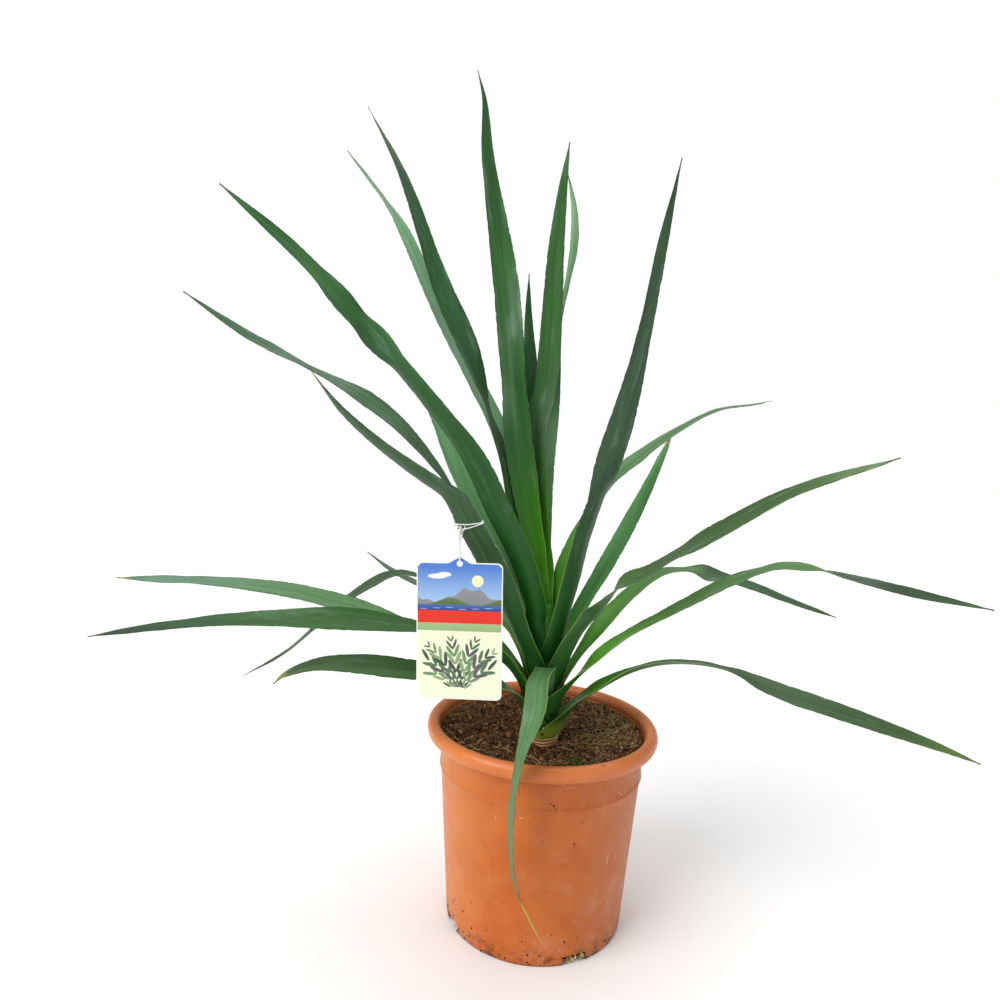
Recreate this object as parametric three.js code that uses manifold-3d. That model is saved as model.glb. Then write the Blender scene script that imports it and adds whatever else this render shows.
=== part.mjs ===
// Young dragon tree in a terracotta-coloured plastic pot, with a hanging plant tag.
// Millimetres, +Z up. The origin is the centre of the pot's underside.

import * as THREE from 'three';
import { mergeVertices } from 'three/addons/utils/BufferGeometryUtils.js';
import Module from 'manifold-3d';

const wasm = await Module();
wasm.setup();

// Pot
const RIM_RADIUS = 95;
const BEAD_WIDTH = 10.4;
const BEAD_HEIGHT = 12.6;
const POT_HEIGHT = 165.2;
const FOOT_RADIUS = 73;
const BAND_FOOT = 127;
const BAND_FOOT_RADIUS = 82.4;
const BAND_TOP_RADIUS = 84.4;
const WALL = 2.2;
const NECK_RADIUS = BAND_TOP_RADIUS - WALL;
const NECK_HEIGHT = 151.5;
const PAD_RADIUS = 16;
const FLOOR_UNDERSIDE = 2.5;
const FLOOR_TOP = 5;
const POT_SIDES = 64;
const NOTCH_COUNT = 4;
const NOTCH_TURN = 298;
const NOTCH_WIDTH = 20;
const NOTCH_HEIGHT = 7.5;

// Soil
const SOIL_LEVEL = 151.5;
const SOIL_GAP = 0.4;
const SOIL_SIDES = 48;
const SOIL_RINGS = 9;
const SOIL_ROUGHNESS = 1.2;
const SOIL_EDGE_RADIUS = 82.7;
const SOIL_EDGE_RISE = 5.2;
const SOIL_EDGE_START = 40;

// Stem, which stands a little forward of the pot's centre
const STEM_Y = -12;
const STEM_RADIUS = 13.8;
const STEM_TIP_RADIUS = 3.4;
const STEM_BOTTOM = 134;
const STEM_FOOT = 158;
const STEM_TOP = 264;
const STEM_SIDES = 32;
const SCAR_HEIGHTS = [151.6, 154.2, 157];
const SCARS_START = 150;
const SCAR_INSET = 0.1;
const SCAR_DEPTH = 0.7;
const SCAR_WIDTH = 0.9;

// Leaves
const ROOT_STANDOFF = 0.9;
const BLADE_HALF_THICKNESS = 0.5;
const MARGIN_HALF_THICKNESS = 0.3;
const COLUMNS = 7;
const CLASP_REACH = 22;
const WRAP_END = 48;
const WRAP_FULL_SHARE = 0.4;
const TIP_HALF_WIDTH = 0.5;
const TIP_SHARPNESS = 0.9;
const FOLD_SOFTNESS = 3;
const CUP_AT_STEM = 0.55;
const CUP_REACH = 0.3;
const CUP_MIDWAY = 0.22;
const CUP_AT_TIP = 0.06;
const WAIST = 0.35;
const WAIST_REACH = 0.16;
const CLOSE_ROWS_END = 45;
const CLOSE_ROW = 12;
const WIDE_ROW = 48;
const ROW_BEND = 9;
const ROW_TWIST = 18;

// Tag and its string
const TAG_WIDTH = 62;
const TAG_HEIGHT = 100;
const TAG_THICKNESS = 0.8;
const TAG_CURVE_PARTS = 5;
const TAG_CORNER = 4;
const TAG_CENTRE = [-62.8, -80, 256.3];
const TAG_TILT = 1.9;
const TAB_WIDTH = 19;
const TAB_RISE = 4.2;
const HOLE_RADIUS = 2;
const HOLE_DROP = 0.6;
const STRING_RADIUS = 0.45;
const STRING_CLEARANCE = 1.4;
const KNOT_RADIUS = 1.4;
const TIED_LEAF = 12;
const TIED_PLACES = [0.592, 0.606];

// One entry a leaf. turn is its heading in degrees, root the height where it leaves the stem, clasp how
// far round the stem it reaches each way in degrees, reach how far along it narrows to its own width,
// width its full width, taper how late it narrows, free how far out it stops clasping and waist how much
// it narrows near the stem. path lists [out, up, sideways] from the stem's axis and roll lists
// [share of the length, degrees].
const LEAVES = [
  {
    turn: -12, root: 160, clasp: 94, reach: 30, width: 20.4, taper: 3.2,
    path: [[19, 172], [28, 186], [39.2, 196.7, -1.1], [68.4, 217.1, 0.4], [90.8, 226.6, 0.4],
      [115.6, 230.6, 0.5], [140.6, 229.1, 0.5], [163.5, 222.1, 0.7], [185.6, 216.1, 0.7],
      [206.1, 212.1, 0.2], [249.4, 202.5, 0.1], [286.5, 193.8, -1.1], [312.6, 185.7]],
    roll: [[0, 20], [0.15, 18.2], [0.25, -10.8], [0.46, -10], [0.54, 19.5], [0.62, 33.8], [1, 60.5]],
  },
  {
    turn: 208, root: 164.5, clasp: 84, reach: 26, width: 24.7, taper: 3.15,
    path: [[17, 178], [24, 190], [37.2, 199, 1], [73.1, 212.3, 0.7], [107.1, 218.8, 1], [153, 228],
      [183.1, 230, -1.1], [205.8, 223.9, -0.8], [212, 219]],
    roll: [[0, -17.5], [0.5, -23.5], [0.65, -39.5], [0.8, -42], [0.9, -37.5], [1, -73.8]],
  },
  {
    turn: 86, root: 170, clasp: 65, width: 24, taper: 2.6,
    path: [[17.5, 182], [27, 202], [50, 230], [90, 252], [140, 256], [200, 236], [262, 196]],
    roll: [[0, 0], [1, 10]],
  },
  {
    turn: 270, root: 189, clasp: 35, width: 20.2, taper: 2.34, waist: 0.29,
    path: [[15, 201, 0.3], [18.5, 213, 0.4], [25, 219.5, 0.4], [38, 221, 0.7], [58, 218, -3.8],
      [76, 210, -4.3], [86, 199.8, -6.2], [92, 186.2, -10.6], [95, 163.2, -15], [95.9, 141.2, -17.1],
      [95.9, 115.4, -16.8], [95.9, 94.4, -14.4], [95, 76.7, -9.5], [93.9, 60.7, -1.4],
      [91.9, 41.7, 8.4]],
    roll: [[0, 8], [0.35, 21], [0.45, 66], [0.55, 74], [0.7, 70], [0.85, 67], [1, 98]],
  },
  {
    turn: 206, root: 174, clasp: 88, reach: 28, width: 29.7, taper: 2.34,
    path: [[16.5, 188], [23, 203], [38.4, 220.4], [73.3, 237.4, 0.1], [107.4, 249.3, 0.2],
      [151, 258.5, 0.4], [192.5, 262.4, 0.6], [244, 264.2, 1.2], [290.3, 261.9, 2], [326.1, 257.7, 0.9]],
    roll: [[0, 32.5], [0.38, -7.5], [0.45, -20.5], [0.55, -34.5], [0.7, -20], [0.85, -16], [1, -44]],
  },
  {
    turn: -22, root: 178, clasp: 94, reach: 30, width: 20.9, taper: 2.6,
    path: [[17, 192], [27, 207], [42.8, 225.4, -0.3], [66.2, 247.9, -0.2], [93.8, 268.4, 1.8],
      [113.9, 283.2, 0.7], [135.8, 298.7, 0.7], [155.5, 309.3, 0.1], [172.6, 316.5, -0.8],
      [193.7, 317.5, -1.3], [213.8, 314.8, -1.6], [254, 309], [298.1, 304.1, 0.6]],
    roll: [[0, 66.8], [0.27, 12.5], [0.5, 25.2], [0.6, 11.2], [0.68, 15.5], [0.73, -23], [0.82, -45],
      [0.87, -66], [1, -95]],
  },
  {
    turn: 8, root: 183, clasp: 76, reach: 28, width: 22.41, taper: 2.7,
    path: [[14.5, 197], [28, 223], [45.9, 248.4, 0.2], [66.2, 273, 0.1], [87.8, 291, -0.1],
      [101.6, 295.3, -0.2], [126.2, 294.3, 0.1], [167.8, 284.5, 0.1], [193.4, 275.8, 0.2], [239.8, 261]],
    roll: [[0, 78.2], [0.24, 23.5], [0.4, 9.5], [0.55, -0.8], [0.6, 47], [0.65, 20.5], [0.9, 34],
      [1, 71.2]],
  },
  {
    turn: 187, root: 186, clasp: 86, reach: 28, width: 24.7, taper: 2.62,
    path: [[17, 199], [24, 213], [35.6, 225.7, -0.1], [67.8, 238.9, -0.1], [106.5, 244.7, 0.2],
      [157.2, 257.3, 0.3], [208.2, 268.3], [263.9, 273.2], [339.7, 273.5, -0.1]],
    roll: [[0, -41.2], [0.35, 19.2], [0.42, -5.2], [0.49, -25], [0.56, -25], [0.63, -26.8],
      [0.85, -22.8], [1, -92.5]],
  },
  {
    turn: 163, root: 195, clasp: 62, reach: 26, width: 16.25, taper: 2.57,
    path: [[14.3, 208], [23, 230], [58.1, 254, -0.3], [86.9, 265.3, 0.1], [118.5, 273.5, 0.5],
      [144.6, 271.6, -0.2], [184.6, 248, -0.2], [224.1, 212.9, -0.1], [252.1, 188, -0.3],
      [303.1, 155, -0.4]],
    roll: [[0, 10], [0.4, 3], [0.5, -44], [0.65, -35.8], [0.84, -31.5], [1, -47.8]],
  },
  {
    turn: -38, root: 192, clasp: 78, reach: 50, width: 23.75, taper: 2.6, waist: 0.1,
    path: [[14.5, 206], [19.5, 222], [28, 241], [40.6, 260.7, 3.7], [55.3, 276.6, 1.6],
      [67.9, 292.6, 0.6], [84.5, 301.2, 1], [112.5, 322.2, 3.2], [144.4, 344.1, 1.3],
      [190.3, 372.8, -2.5], [245.8, 396.1, 0.8]],
    roll: [[0, -10], [0.14, -15], [0.24, -15.5], [0.33, 17.5], [0.36, 31.5], [0.4, 34], [0.52, 26],
      [0.6, 47.5], [0.65, 47], [0.72, 48.5], [0.83, 43], [1, 60]],
  },
  {
    turn: 140, root: 191, clasp: 60, width: 17.63, taper: 2.75,
    path: [[15, 203], [28, 225], [74.4, 250.6, -4.4], [117.3, 250.2, -1.1], [164.4, 252.4, 0.4],
      [206.3, 259, 0.3], [247.6, 271, 0.5]],
    roll: [[0, 1.2], [1, -5]],
  },
  {
    turn: 222, root: 199, clasp: 74, reach: 52, width: 25.48, taper: 2.4, waist: 0,
    path: [[14, 212], [19.5, 226], [27, 239], [36, 256.4, -0.5], [45.8, 277.6, -1.3],
      [61.4, 304.1, -1.9], [77.3, 326.7, -2], [95.8, 351.5, 0.7], [117.9, 364.8, 0.8],
      [155, 387.9, -0.8], [185, 410.3, -0.1], [207, 434]],
    roll: [[0, 23.8], [0.3, 35], [0.51, 30], [0.6, 20], [0.71, 17.5], [0.8, 15], [0.9, 14.2],
      [1, -12.5]],
  },
  {
    turn: 190, root: 206, clasp: 60, width: 19, taper: 3,
    path: [[12.8, 219], [20, 246], [33, 280], [48.1, 305.2, 0.1], [67.3, 329.8], [91.2, 366],
      [122.8, 401.3, -0.2], [150.6, 421.9, -0.3], [194.1, 443, 0.1], [241.1, 466, 0.1], [285, 493]],
    roll: [[0, 0], [0.25, 1.2], [0.4, -7.5], [0.63, -57.5], [0.7, -24.8], [0.76, -14.5], [0.82, -43.2],
      [0.9, -63.8], [1, -67.5]],
  },
  {
    turn: 45, root: 208, clasp: 65, width: 19, taper: 3.6,
    path: [[13, 222], [33, 247], [55.9, 275.6, -0.3], [78, 303.3, -0.2], [100, 332.2, -0.2],
      [119.9, 361.5, -0.4], [138.3, 391.4, -0.7], [150, 409]],
    roll: [[0, -0.5], [0.3, -2.5], [0.42, 5.5], [0.6, 9], [0.8, 0], [1, 12.5]],
  },
  {
    turn: 170, root: 212, clasp: 65, width: 22.55, taper: 2.25,
    path: [[12.6, 226, 0.1], [21.3, 258], [39.5, 301.6, 0.6], [70.1, 347.6, 1.5], [88.5, 385.2, 0.9],
      [109.3, 427, 0.5], [151, 474.6, 1], [195.6, 518.2, 0.8]],
    roll: [[0, 0], [0.2, 2.5], [0.5, -37.5], [1, -10]],
  },
  {
    turn: 106, root: 216, clasp: 40, reach: 22, width: 25.2, taper: 2.76,
    path: [[10.6, 232], [16, 256], [45, 305], [100, 374], [150, 432], [205, 482]],
    roll: [[0, 0], [1, 0]],
  },
  {
    turn: 198, root: 224, clasp: 78, reach: 32, width: 25.2, taper: 2.99, free: 14, waist: 0.2,
    path: [[9.8, 236, 2], [12.2, 250, 3.5], [12.4, 262, 4.4], [18, 281, 1], [25.5, 301, -0.5],
      [46.2, 339.6, -1], [66.9, 377.3, 1.1], [94, 411.2, 0.1], [140, 461.1, -0.1], [173, 495],
      [205.6, 525.1, 0.3], [252.7, 561.6, -0.7]],
    roll: [[0, 40], [0.06, 66], [0.14, 60], [0.24, 58.5], [0.35, 50.2], [0.46, 30.5], [0.61, 24.5],
      [0.7, 129.2], [0.8, 35], [1, 87]],
  },
  {
    turn: -48, root: 220, clasp: 92, reach: 36, width: 23.4, taper: 2.34, waist: 0.1,
    path: [[12.7, 236, 2.3], [18.2, 262, 2.4], [25.9, 290, 2.1], [35.9, 322, 1], [48.6, 356.7, 1.9],
      [59.4, 385, -0.7], [72.6, 426.6, 0.5], [84.3, 472, 0.3], [95.9, 531.3, -0.5], [105.1, 584.7, 1.9]],
    roll: [[0, 19], [0.2, 57], [0.3, 9], [0.38, 8.2], [0.45, -33.8], [0.51, -38.8], [0.58, -22],
      [0.65, -5.5], [0.76, 0], [0.87, -20], [1, -1]],
  },
  {
    turn: 38, root: 229, clasp: 65, width: 26.25, taper: 2.08, waist: 0.45,
    path: [[11.8, 245], [17, 290, 1], [29, 322, -3.1], [44.8, 346.1, -3.5], [65.2, 367, -0.9],
      [94.9, 388, -0.6], [134.7, 410.1, -1.9], [185.1, 430, -0.1], [239, 439], [265.3, 444, 0.5]],
    roll: [[0, -12], [0.2, -16], [0.26, -47], [0.47, 3.5], [0.52, -3.5], [0.6, -4], [0.71, -8],
      [0.84, 5.8], [1, 17.5]],
  },
  {
    turn: 147, root: 233, clasp: 65, width: 19.38, taper: 2.6,
    path: [[11.4, 250], [20, 280], [28.1, 311, -1.7], [41.6, 348.2, -4.8], [62.7, 401.1, -5.1],
      [90, 442.3, -4.6], [128.5, 497.5, -2.5], [178.8, 582.8, 2], [227, 635.3, 2.3],
      [256.2, 664.1, 2.4]],
    roll: [[0, -22.5], [0.6, -18], [0.75, -48.8], [0.85, 3.8], [1, -36.2]],
  },
  {
    turn: 157, root: 238, clasp: 65, width: 23.53, taper: 2.7, waist: 0.32,
    path: [[9.9, 252], [17.5, 280], [23.5, 305], [33.2, 329.2, 2.7], [43.7, 370, 0.9], [62, 412.7, 1.5],
      [86.4, 471.8, -0.9], [111.8, 519.6, 0.8], [156.1, 617.7, 1.6], [195.9, 679]],
    roll: [[0, 1], [0.2, -29.2], [0.4, 19.8], [0.5, -33], [0.58, -59.5], [0.64, -47], [0.7, -29],
      [0.78, -30.5], [1, -4.8]],
  },
  {
    turn: 112, root: 242, clasp: 65, width: 19.25, taper: 2.73,
    path: [[9.5, 258], [15.4, 283], [29.2, 320, -1.1], [39, 366, -2.3], [46.2, 410, -0.4],
      [53.3, 444, 3.7], [68.7, 499, 4.6], [76.8, 538.6, 3.3]],
    roll: [[0, -10], [1, -20]],
  },
  {
    turn: 104, root: 247, clasp: 65, width: 22, taper: 2.6, waist: 0.5,
    path: [[8.6, 262], [13.4, 282, 3], [25, 320, 3.8], [33.7, 365.8, 3.1], [40.2, 413.6, -0.6],
      [49.6, 474.2, -7.7], [58.2, 514.6, -14.2], [66.6, 558.1, -22.4], [72.5, 588, -23.6],
      [79.3, 615.2, -20.4], [82.8, 629.7, -17.2]],
    roll: [[0, -11.5], [0.4, -5.2], [0.5, -37.5], [0.64, -90.5], [0.77, -76.5], [0.85, -48], [1, -12.8]],
  },
  {
    turn: 110, root: 251, clasp: 65, width: 20.7, taper: 3.9, free: 24,
    path: [[7.7, 268, 0.5], [12.8, 290], [20.5, 320, 3.4], [26, 365, 6.5], [32.4, 404, 7],
      [35.1, 443.3, -0.6], [40.9, 497.2, -4.7], [48.3, 549.9, -7.7], [54.7, 604.2, -13.1],
      [57.4, 645.9, -18.2]],
    roll: [[0, -20], [0.3, -30], [0.5, -23.8], [1, -15]],
  },
  {
    turn: 140, root: 257, clasp: 65, width: 26.98, taper: 3, free: 12, waist: 0.5,
    path: [[5.6, 268], [9.2, 285, -0.2], [13.4, 305, -0.5], [19.3, 323, 0.7], [34.7, 383.2, 3.3],
      [46.9, 443.7, 1.7], [64.3, 524, -0.1], [92.1, 632.2, 0.6], [101.5, 682.6, -1.1],
      [109.9, 707.6, 0.2]],
    roll: [[0, -77], [0.25, -53.2], [0.41, -84.8], [0.64, -43.2], [0.77, -16.5], [0.85, -14], [1, -4.2]],
  },
];

const plastic = (colour) => new THREE.MeshStandardMaterial({ color: colour, roughness: 0.55, metalness: 0 });
const POT_MATERIAL = plastic(0xc8692f);
const SOIL_MATERIAL = new THREE.MeshStandardMaterial({ color: 0x3a281c, roughness: 0.95, metalness: 0 });
const STEM_MATERIAL = new THREE.MeshStandardMaterial({ color: 0x9a5a24, roughness: 0.7, metalness: 0 });
const LEAF_MATERIAL = new THREE.MeshStandardMaterial({ color: 0x2c5a30, roughness: 0.45, metalness: 0 });
const TAG_MATERIAL = new THREE.MeshStandardMaterial({ color: 0xd8e2c4, roughness: 0.4, metalness: 0 });
const STRING_MATERIAL = new THREE.MeshStandardMaterial({ color: 0xf0f0ee, roughness: 0.8, metalness: 0 });

const radians = THREE.MathUtils.degToRad;

// Booleans

function toSolid(geometry) {
  const plain = geometry.clone();
  plain.deleteAttribute('normal');
  plain.deleteAttribute('uv');
  const merged = mergeVertices(plain, 1e-4);
  return new wasm.Manifold(new wasm.Mesh({
    numProp: 3,
    vertProperties: new Float32Array(merged.attributes.position.array),
    triVerts: new Uint32Array(merged.index.array),
  }));
}

function toGeometry(solid) {
  const mesh = solid.getMesh();
  const geometry = new THREE.BufferGeometry();
  geometry.setAttribute('position', new THREE.BufferAttribute(mesh.vertProperties, 3));
  geometry.setIndex(new THREE.BufferAttribute(mesh.triVerts, 1));
  return geometry;
}

function meshGeometry(points, triangles) {
  const geometry = new THREE.BufferGeometry();
  geometry.setAttribute('position', new THREE.Float32BufferAttribute(points.flat(), 3));
  geometry.setIndex(triangles.flat());
  return geometry;
}

function named(name, geometry, material) {
  const mesh = new THREE.Mesh(geometry, material);
  mesh.name = name;
  return mesh;
}

function revolve(profile, sides) {
  const outline = profile.map(([radius, height]) => new THREE.Vector2(radius, height));
  return new THREE.LatheGeometry(outline, sides).rotateX(Math.PI / 2);
}

// Pot

function innerWallRadius(height) {
  const share = (height - FLOOR_TOP) / (BAND_FOOT - FLOOR_TOP);
  return THREE.MathUtils.lerp(FOOT_RADIUS, BAND_FOOT_RADIUS, share) - WALL;
}

function potGeometry() {
  const beadCentre = [RIM_RADIUS - BEAD_WIDTH / 2, POT_HEIGHT - BEAD_HEIGHT / 2];
  const beadPoint = (degrees) => [
    beadCentre[0] + (BEAD_WIDTH / 2) * Math.cos(radians(degrees)),
    beadCentre[1] + (BEAD_HEIGHT / 2) * Math.sin(radians(degrees)),
  ];
  const bead = [-75, -50, -20, 10, 40, 65, 90, 115, 140, 170, 200].map(beadPoint);
  const profile = [
    [0, 0],
    [PAD_RADIUS, 0],
    [PAD_RADIUS + 3, FLOOR_UNDERSIDE],
    [FOOT_RADIUS - 11, FLOOR_UNDERSIDE],
    [FOOT_RADIUS - 9, 0],
    [FOOT_RADIUS - 1.5, 0],
    [FOOT_RADIUS, 1.5],
    [BAND_FOOT_RADIUS, BAND_FOOT - 1],
    [BAND_FOOT_RADIUS + 1.2, BAND_FOOT],
    [BAND_FOOT_RADIUS + 1.2, BAND_FOOT + 2],
    [BAND_FOOT_RADIUS + 0.5, BAND_FOOT + 3],
    [BAND_TOP_RADIUS, POT_HEIGHT - BEAD_HEIGHT - 0.5],
    ...bead,
    [NECK_RADIUS, NECK_HEIGHT],
    [innerWallRadius(BAND_FOOT), BAND_FOOT],
    [innerWallRadius(FLOOR_TOP), FLOOR_TOP],
    [0, FLOOR_TOP],
  ];
  let pot = toSolid(revolve(profile, POT_SIDES));
  for (let i = 0; i < NOTCH_COUNT; i += 1) {
    const cutter = new THREE.BoxGeometry(14, NOTCH_WIDTH, 2 * NOTCH_HEIGHT);
    cutter.translate(FOOT_RADIUS, 0, 0);
    cutter.rotateZ(radians(NOTCH_TURN + (360 * i) / NOTCH_COUNT));
    pot = pot.subtract(toSolid(cutter));
  }
  return toGeometry(pot);
}

// Soil: rings of points that run from under the soil, up the pot's wall, in over the uneven top to
// the stem, and down into the hole that the stem stands in

function soilHeight(x, y) {
  const mounds = Math.sin(x * 0.09 + 1.3) * Math.cos(y * 0.07 - 0.4) + 0.6 * Math.sin(x * 0.21 - y * 0.17);
  const edge = THREE.MathUtils.smoothstep(Math.hypot(x, y), SOIL_EDGE_START, SOIL_EDGE_RADIUS);
  return SOIL_LEVEL + SOIL_ROUGHNESS * mounds + SOIL_EDGE_RISE * edge;
}

function soilGeometry() {
  const holeRadius = STEM_RADIUS + SOIL_GAP;
  const bottomRadius = innerWallRadius(FLOOR_TOP) - SOIL_GAP;
  const bandRadius = innerWallRadius(BAND_FOOT) - SOIL_GAP;
  const neckRadius = NECK_RADIUS - SOIL_GAP - 0.1;
  const holeBottom = STEM_BOTTOM - SOIL_GAP;
  const bottom = FLOOR_TOP + SOIL_GAP;
  const ring = (radius, centreY, height) => Array.from({ length: SOIL_SIDES }, (_, i) => {
    const angle = (2 * Math.PI * i) / SOIL_SIDES;
    const x = radius * Math.cos(angle);
    const y = centreY + radius * Math.sin(angle);
    return [x, y, height ?? soilHeight(x, y)];
  });
  const rings = [
    ring(bottomRadius, 0, bottom),
    ring(bandRadius, 0, BAND_FOOT),
    ring(neckRadius, 0, NECK_HEIGHT - SOIL_GAP),
  ];
  for (let i = 0; i <= SOIL_RINGS; i += 1) {
    const share = i / SOIL_RINGS;
    const radius = THREE.MathUtils.lerp(SOIL_EDGE_RADIUS, holeRadius, share);
    rings.push(ring(radius, STEM_Y * share, i === SOIL_RINGS ? SOIL_LEVEL : undefined));
  }
  rings.push(ring(holeRadius, STEM_Y, holeBottom));
  const points = [[0, 0, bottom], ...rings.flat(), [0, STEM_Y, holeBottom]];
  const last = points.length - 1;
  const triangles = [];
  const index = (row, i) => 1 + row * SOIL_SIDES + (i % SOIL_SIDES);
  for (let i = 0; i < SOIL_SIDES; i += 1) {
    triangles.push([0, index(0, i + 1), index(0, i)]);
    for (let row = 0; row + 1 < rings.length; row += 1) {
      triangles.push([index(row, i), index(row, i + 1), index(row + 1, i + 1)]);
      triangles.push([index(row, i), index(row + 1, i + 1), index(row + 1, i)]);
    }
    triangles.push([index(rings.length - 1, i), index(rings.length - 1, i + 1), last]);
  }
  return meshGeometry(points, triangles);
}

// Stem

function stemRadius(height) {
  const share = THREE.MathUtils.clamp((height - STEM_FOOT) / (STEM_TOP - STEM_FOOT), 0, 1);
  return THREE.MathUtils.lerp(STEM_RADIUS, STEM_TIP_RADIUS, share);
}

function stemGeometry() {
  const grown = STEM_RADIUS - SCAR_INSET;
  const waist = grown - SCAR_DEPTH;
  const profile = [[0, STEM_BOTTOM], [waist, STEM_BOTTOM], [waist, SCARS_START]];
  for (const height of SCAR_HEIGHTS) {
    profile.push([grown, height - SCAR_WIDTH]);
    profile.push([grown, height]);
    profile.push([waist, height + SCAR_WIDTH / 2]);
  }
  for (let height = STEM_FOOT + 2; height < STEM_TOP; height += 26) {
    profile.push([stemRadius(height), height]);
  }
  profile.push([STEM_TIP_RADIUS - 0.6, STEM_TOP], [0, STEM_TOP + 2]);
  return revolve(profile, STEM_SIDES).translate(0, STEM_Y, 0);
}

// Leaves

// The middle surface of a blade. Near the stem it is turned about the stem's axis, so that the leaf
// clasps the stem; further out it is a shallow channel across the leaf's line, rolled about that line.
class Blade {
  constructor(leaf) {
    this.leaf = leaf;
    const turn = radians(leaf.turn);
    const outward = new THREE.Vector3(Math.cos(turn), Math.sin(turn), 0);
    this.sideways = new THREE.Vector3(-Math.sin(turn), Math.cos(turn), 0);
    this.rootRadius = stemRadius(leaf.root) + ROOT_STANDOFF;
    const stations = [[this.rootRadius, leaf.root], ...leaf.path];
    const points = stations.map(([out, up, side = 0]) => new THREE.Vector3(0, STEM_Y, up)
      .addScaledVector(outward, out)
      .addScaledVector(this.sideways, side));
    this.spans = points.length - 1;
    this.curve = new THREE.CatmullRomCurve3(points, false, 'centripetal');
    this.curve.arcLengthDivisions = this.spans * 16;
    this.lengths = this.curve.getLengths();
    this.length = this.lengths[this.lengths.length - 1];
  }

  distance(u) {
    const place = u * (this.lengths.length - 1);
    const i = Math.min(Math.floor(place), this.lengths.length - 2);
    return THREE.MathUtils.lerp(this.lengths[i], this.lengths[i + 1], place - i);
  }

  roll(u) {
    const share = this.distance(u) / this.length;
    const stops = this.leaf.roll;
    const next = stops.findIndex(([at]) => at >= share);
    if (next <= 0) {
      return radians(next === 0 ? stops[0][1] : stops[stops.length - 1][1]);
    }
    const [from, to] = [stops[next - 1], stops[next]];
    return radians(THREE.MathUtils.mapLinear(share, from[0], to[0], from[1], to[1]));
  }

  halfWidth(u) {
    const along = this.distance(u);
    const share = along / this.length;
    const body = (this.leaf.width / 2) * (1 - share ** this.leaf.taper) ** TIP_SHARPNESS;
    const waist = this.leaf.waist ?? WAIST;
    const waisted = body * (1 - waist * Math.exp(-((share / WAIST_REACH) ** 2)));
    const clasping = this.rootRadius * radians(this.leaf.clasp);
    const clasp = Math.exp(-((along / (this.leaf.reach ?? CLASP_REACH)) ** 2));
    return Math.max(THREE.MathUtils.lerp(waisted, clasping, clasp), TIP_HALF_WIDTH);
  }

  // Slope of the two halves of the channel, steep near the stem and nearly flat at the tip
  cup(u) {
    const share = this.distance(u) / this.length;
    return CUP_AT_STEM * Math.exp(-((share / CUP_REACH) ** 2)) + CUP_MIDWAY * (1 - share) + CUP_AT_TIP;
  }

  wrap(centre) {
    const out = Math.hypot(centre.x, centre.y - STEM_Y);
    const end = this.leaf.free ?? WRAP_END;
    return 1 - THREE.MathUtils.smoothstep(out, WRAP_FULL_SHARE * end, end);
  }

  // u runs from root to tip and q from -1 to 1 across the blade.
  point(u, q) {
    const centre = this.curve.getPoint(u);
    const along = this.curve.getTangent(u);
    const up = new THREE.Vector3().crossVectors(along, this.sideways).normalize();
    const across = new THREE.Vector3().crossVectors(up, along);
    const wrap = this.wrap(centre);
    const roll = this.roll(u) * (1 - wrap);
    const rolledAcross = across.clone().multiplyScalar(Math.cos(roll)).addScaledVector(up, Math.sin(roll));
    const rolledUp = up.clone().multiplyScalar(Math.cos(roll)).addScaledVector(across, -Math.sin(roll));
    const offset = q * this.halfWidth(u);
    const cup = this.cup(u);
    const reach = offset / Math.hypot(1, cup);
    const lift = cup * (Math.hypot(reach, FOLD_SOFTNESS) - FOLD_SOFTNESS);
    const flat = centre.clone().addScaledVector(rolledAcross, reach).addScaledVector(rolledUp, lift);
    const x = centre.x;
    const y = centre.y - STEM_Y;
    const angle = offset / Math.hypot(x, y);
    const clasped = new THREE.Vector3(
      x * Math.cos(angle) - y * Math.sin(angle),
      STEM_Y + x * Math.sin(angle) + y * Math.cos(angle),
      centre.z,
    );
    return flat.lerp(clasped, wrap);
  }

  normal(u, q) {
    const step = 1e-3;
    const lengthwise = this.point(Math.min(u + step, 1), q).sub(this.point(Math.max(u - step, 0), q));
    const crosswise = this.point(u, q + 0.05).sub(this.point(u, q - 0.05));
    return lengthwise.cross(crosswise).normalize();
  }

  // Places along the blade, closer where it clasps, bends or rolls
  stations() {
    const steps = this.spans * 8;
    const kept = [0];
    for (let i = 1; i < steps; i += 1) {
      const u = i / steps;
      const from = kept[kept.length - 1];
      const far = this.distance(u) - this.distance(from);
      const bend = this.curve.getTangent(u).angleTo(this.curve.getTangent(from));
      const twist = Math.abs(this.roll(u) - this.roll(from));
      const reach = this.distance(u) < CLOSE_ROWS_END ? CLOSE_ROW : WIDE_ROW;
      if (far > reach || bend > radians(ROW_BEND) || twist > radians(ROW_TWIST)) {
        kept.push(u);
      }
    }
    kept.push(1);
    return kept;
  }
}

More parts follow.
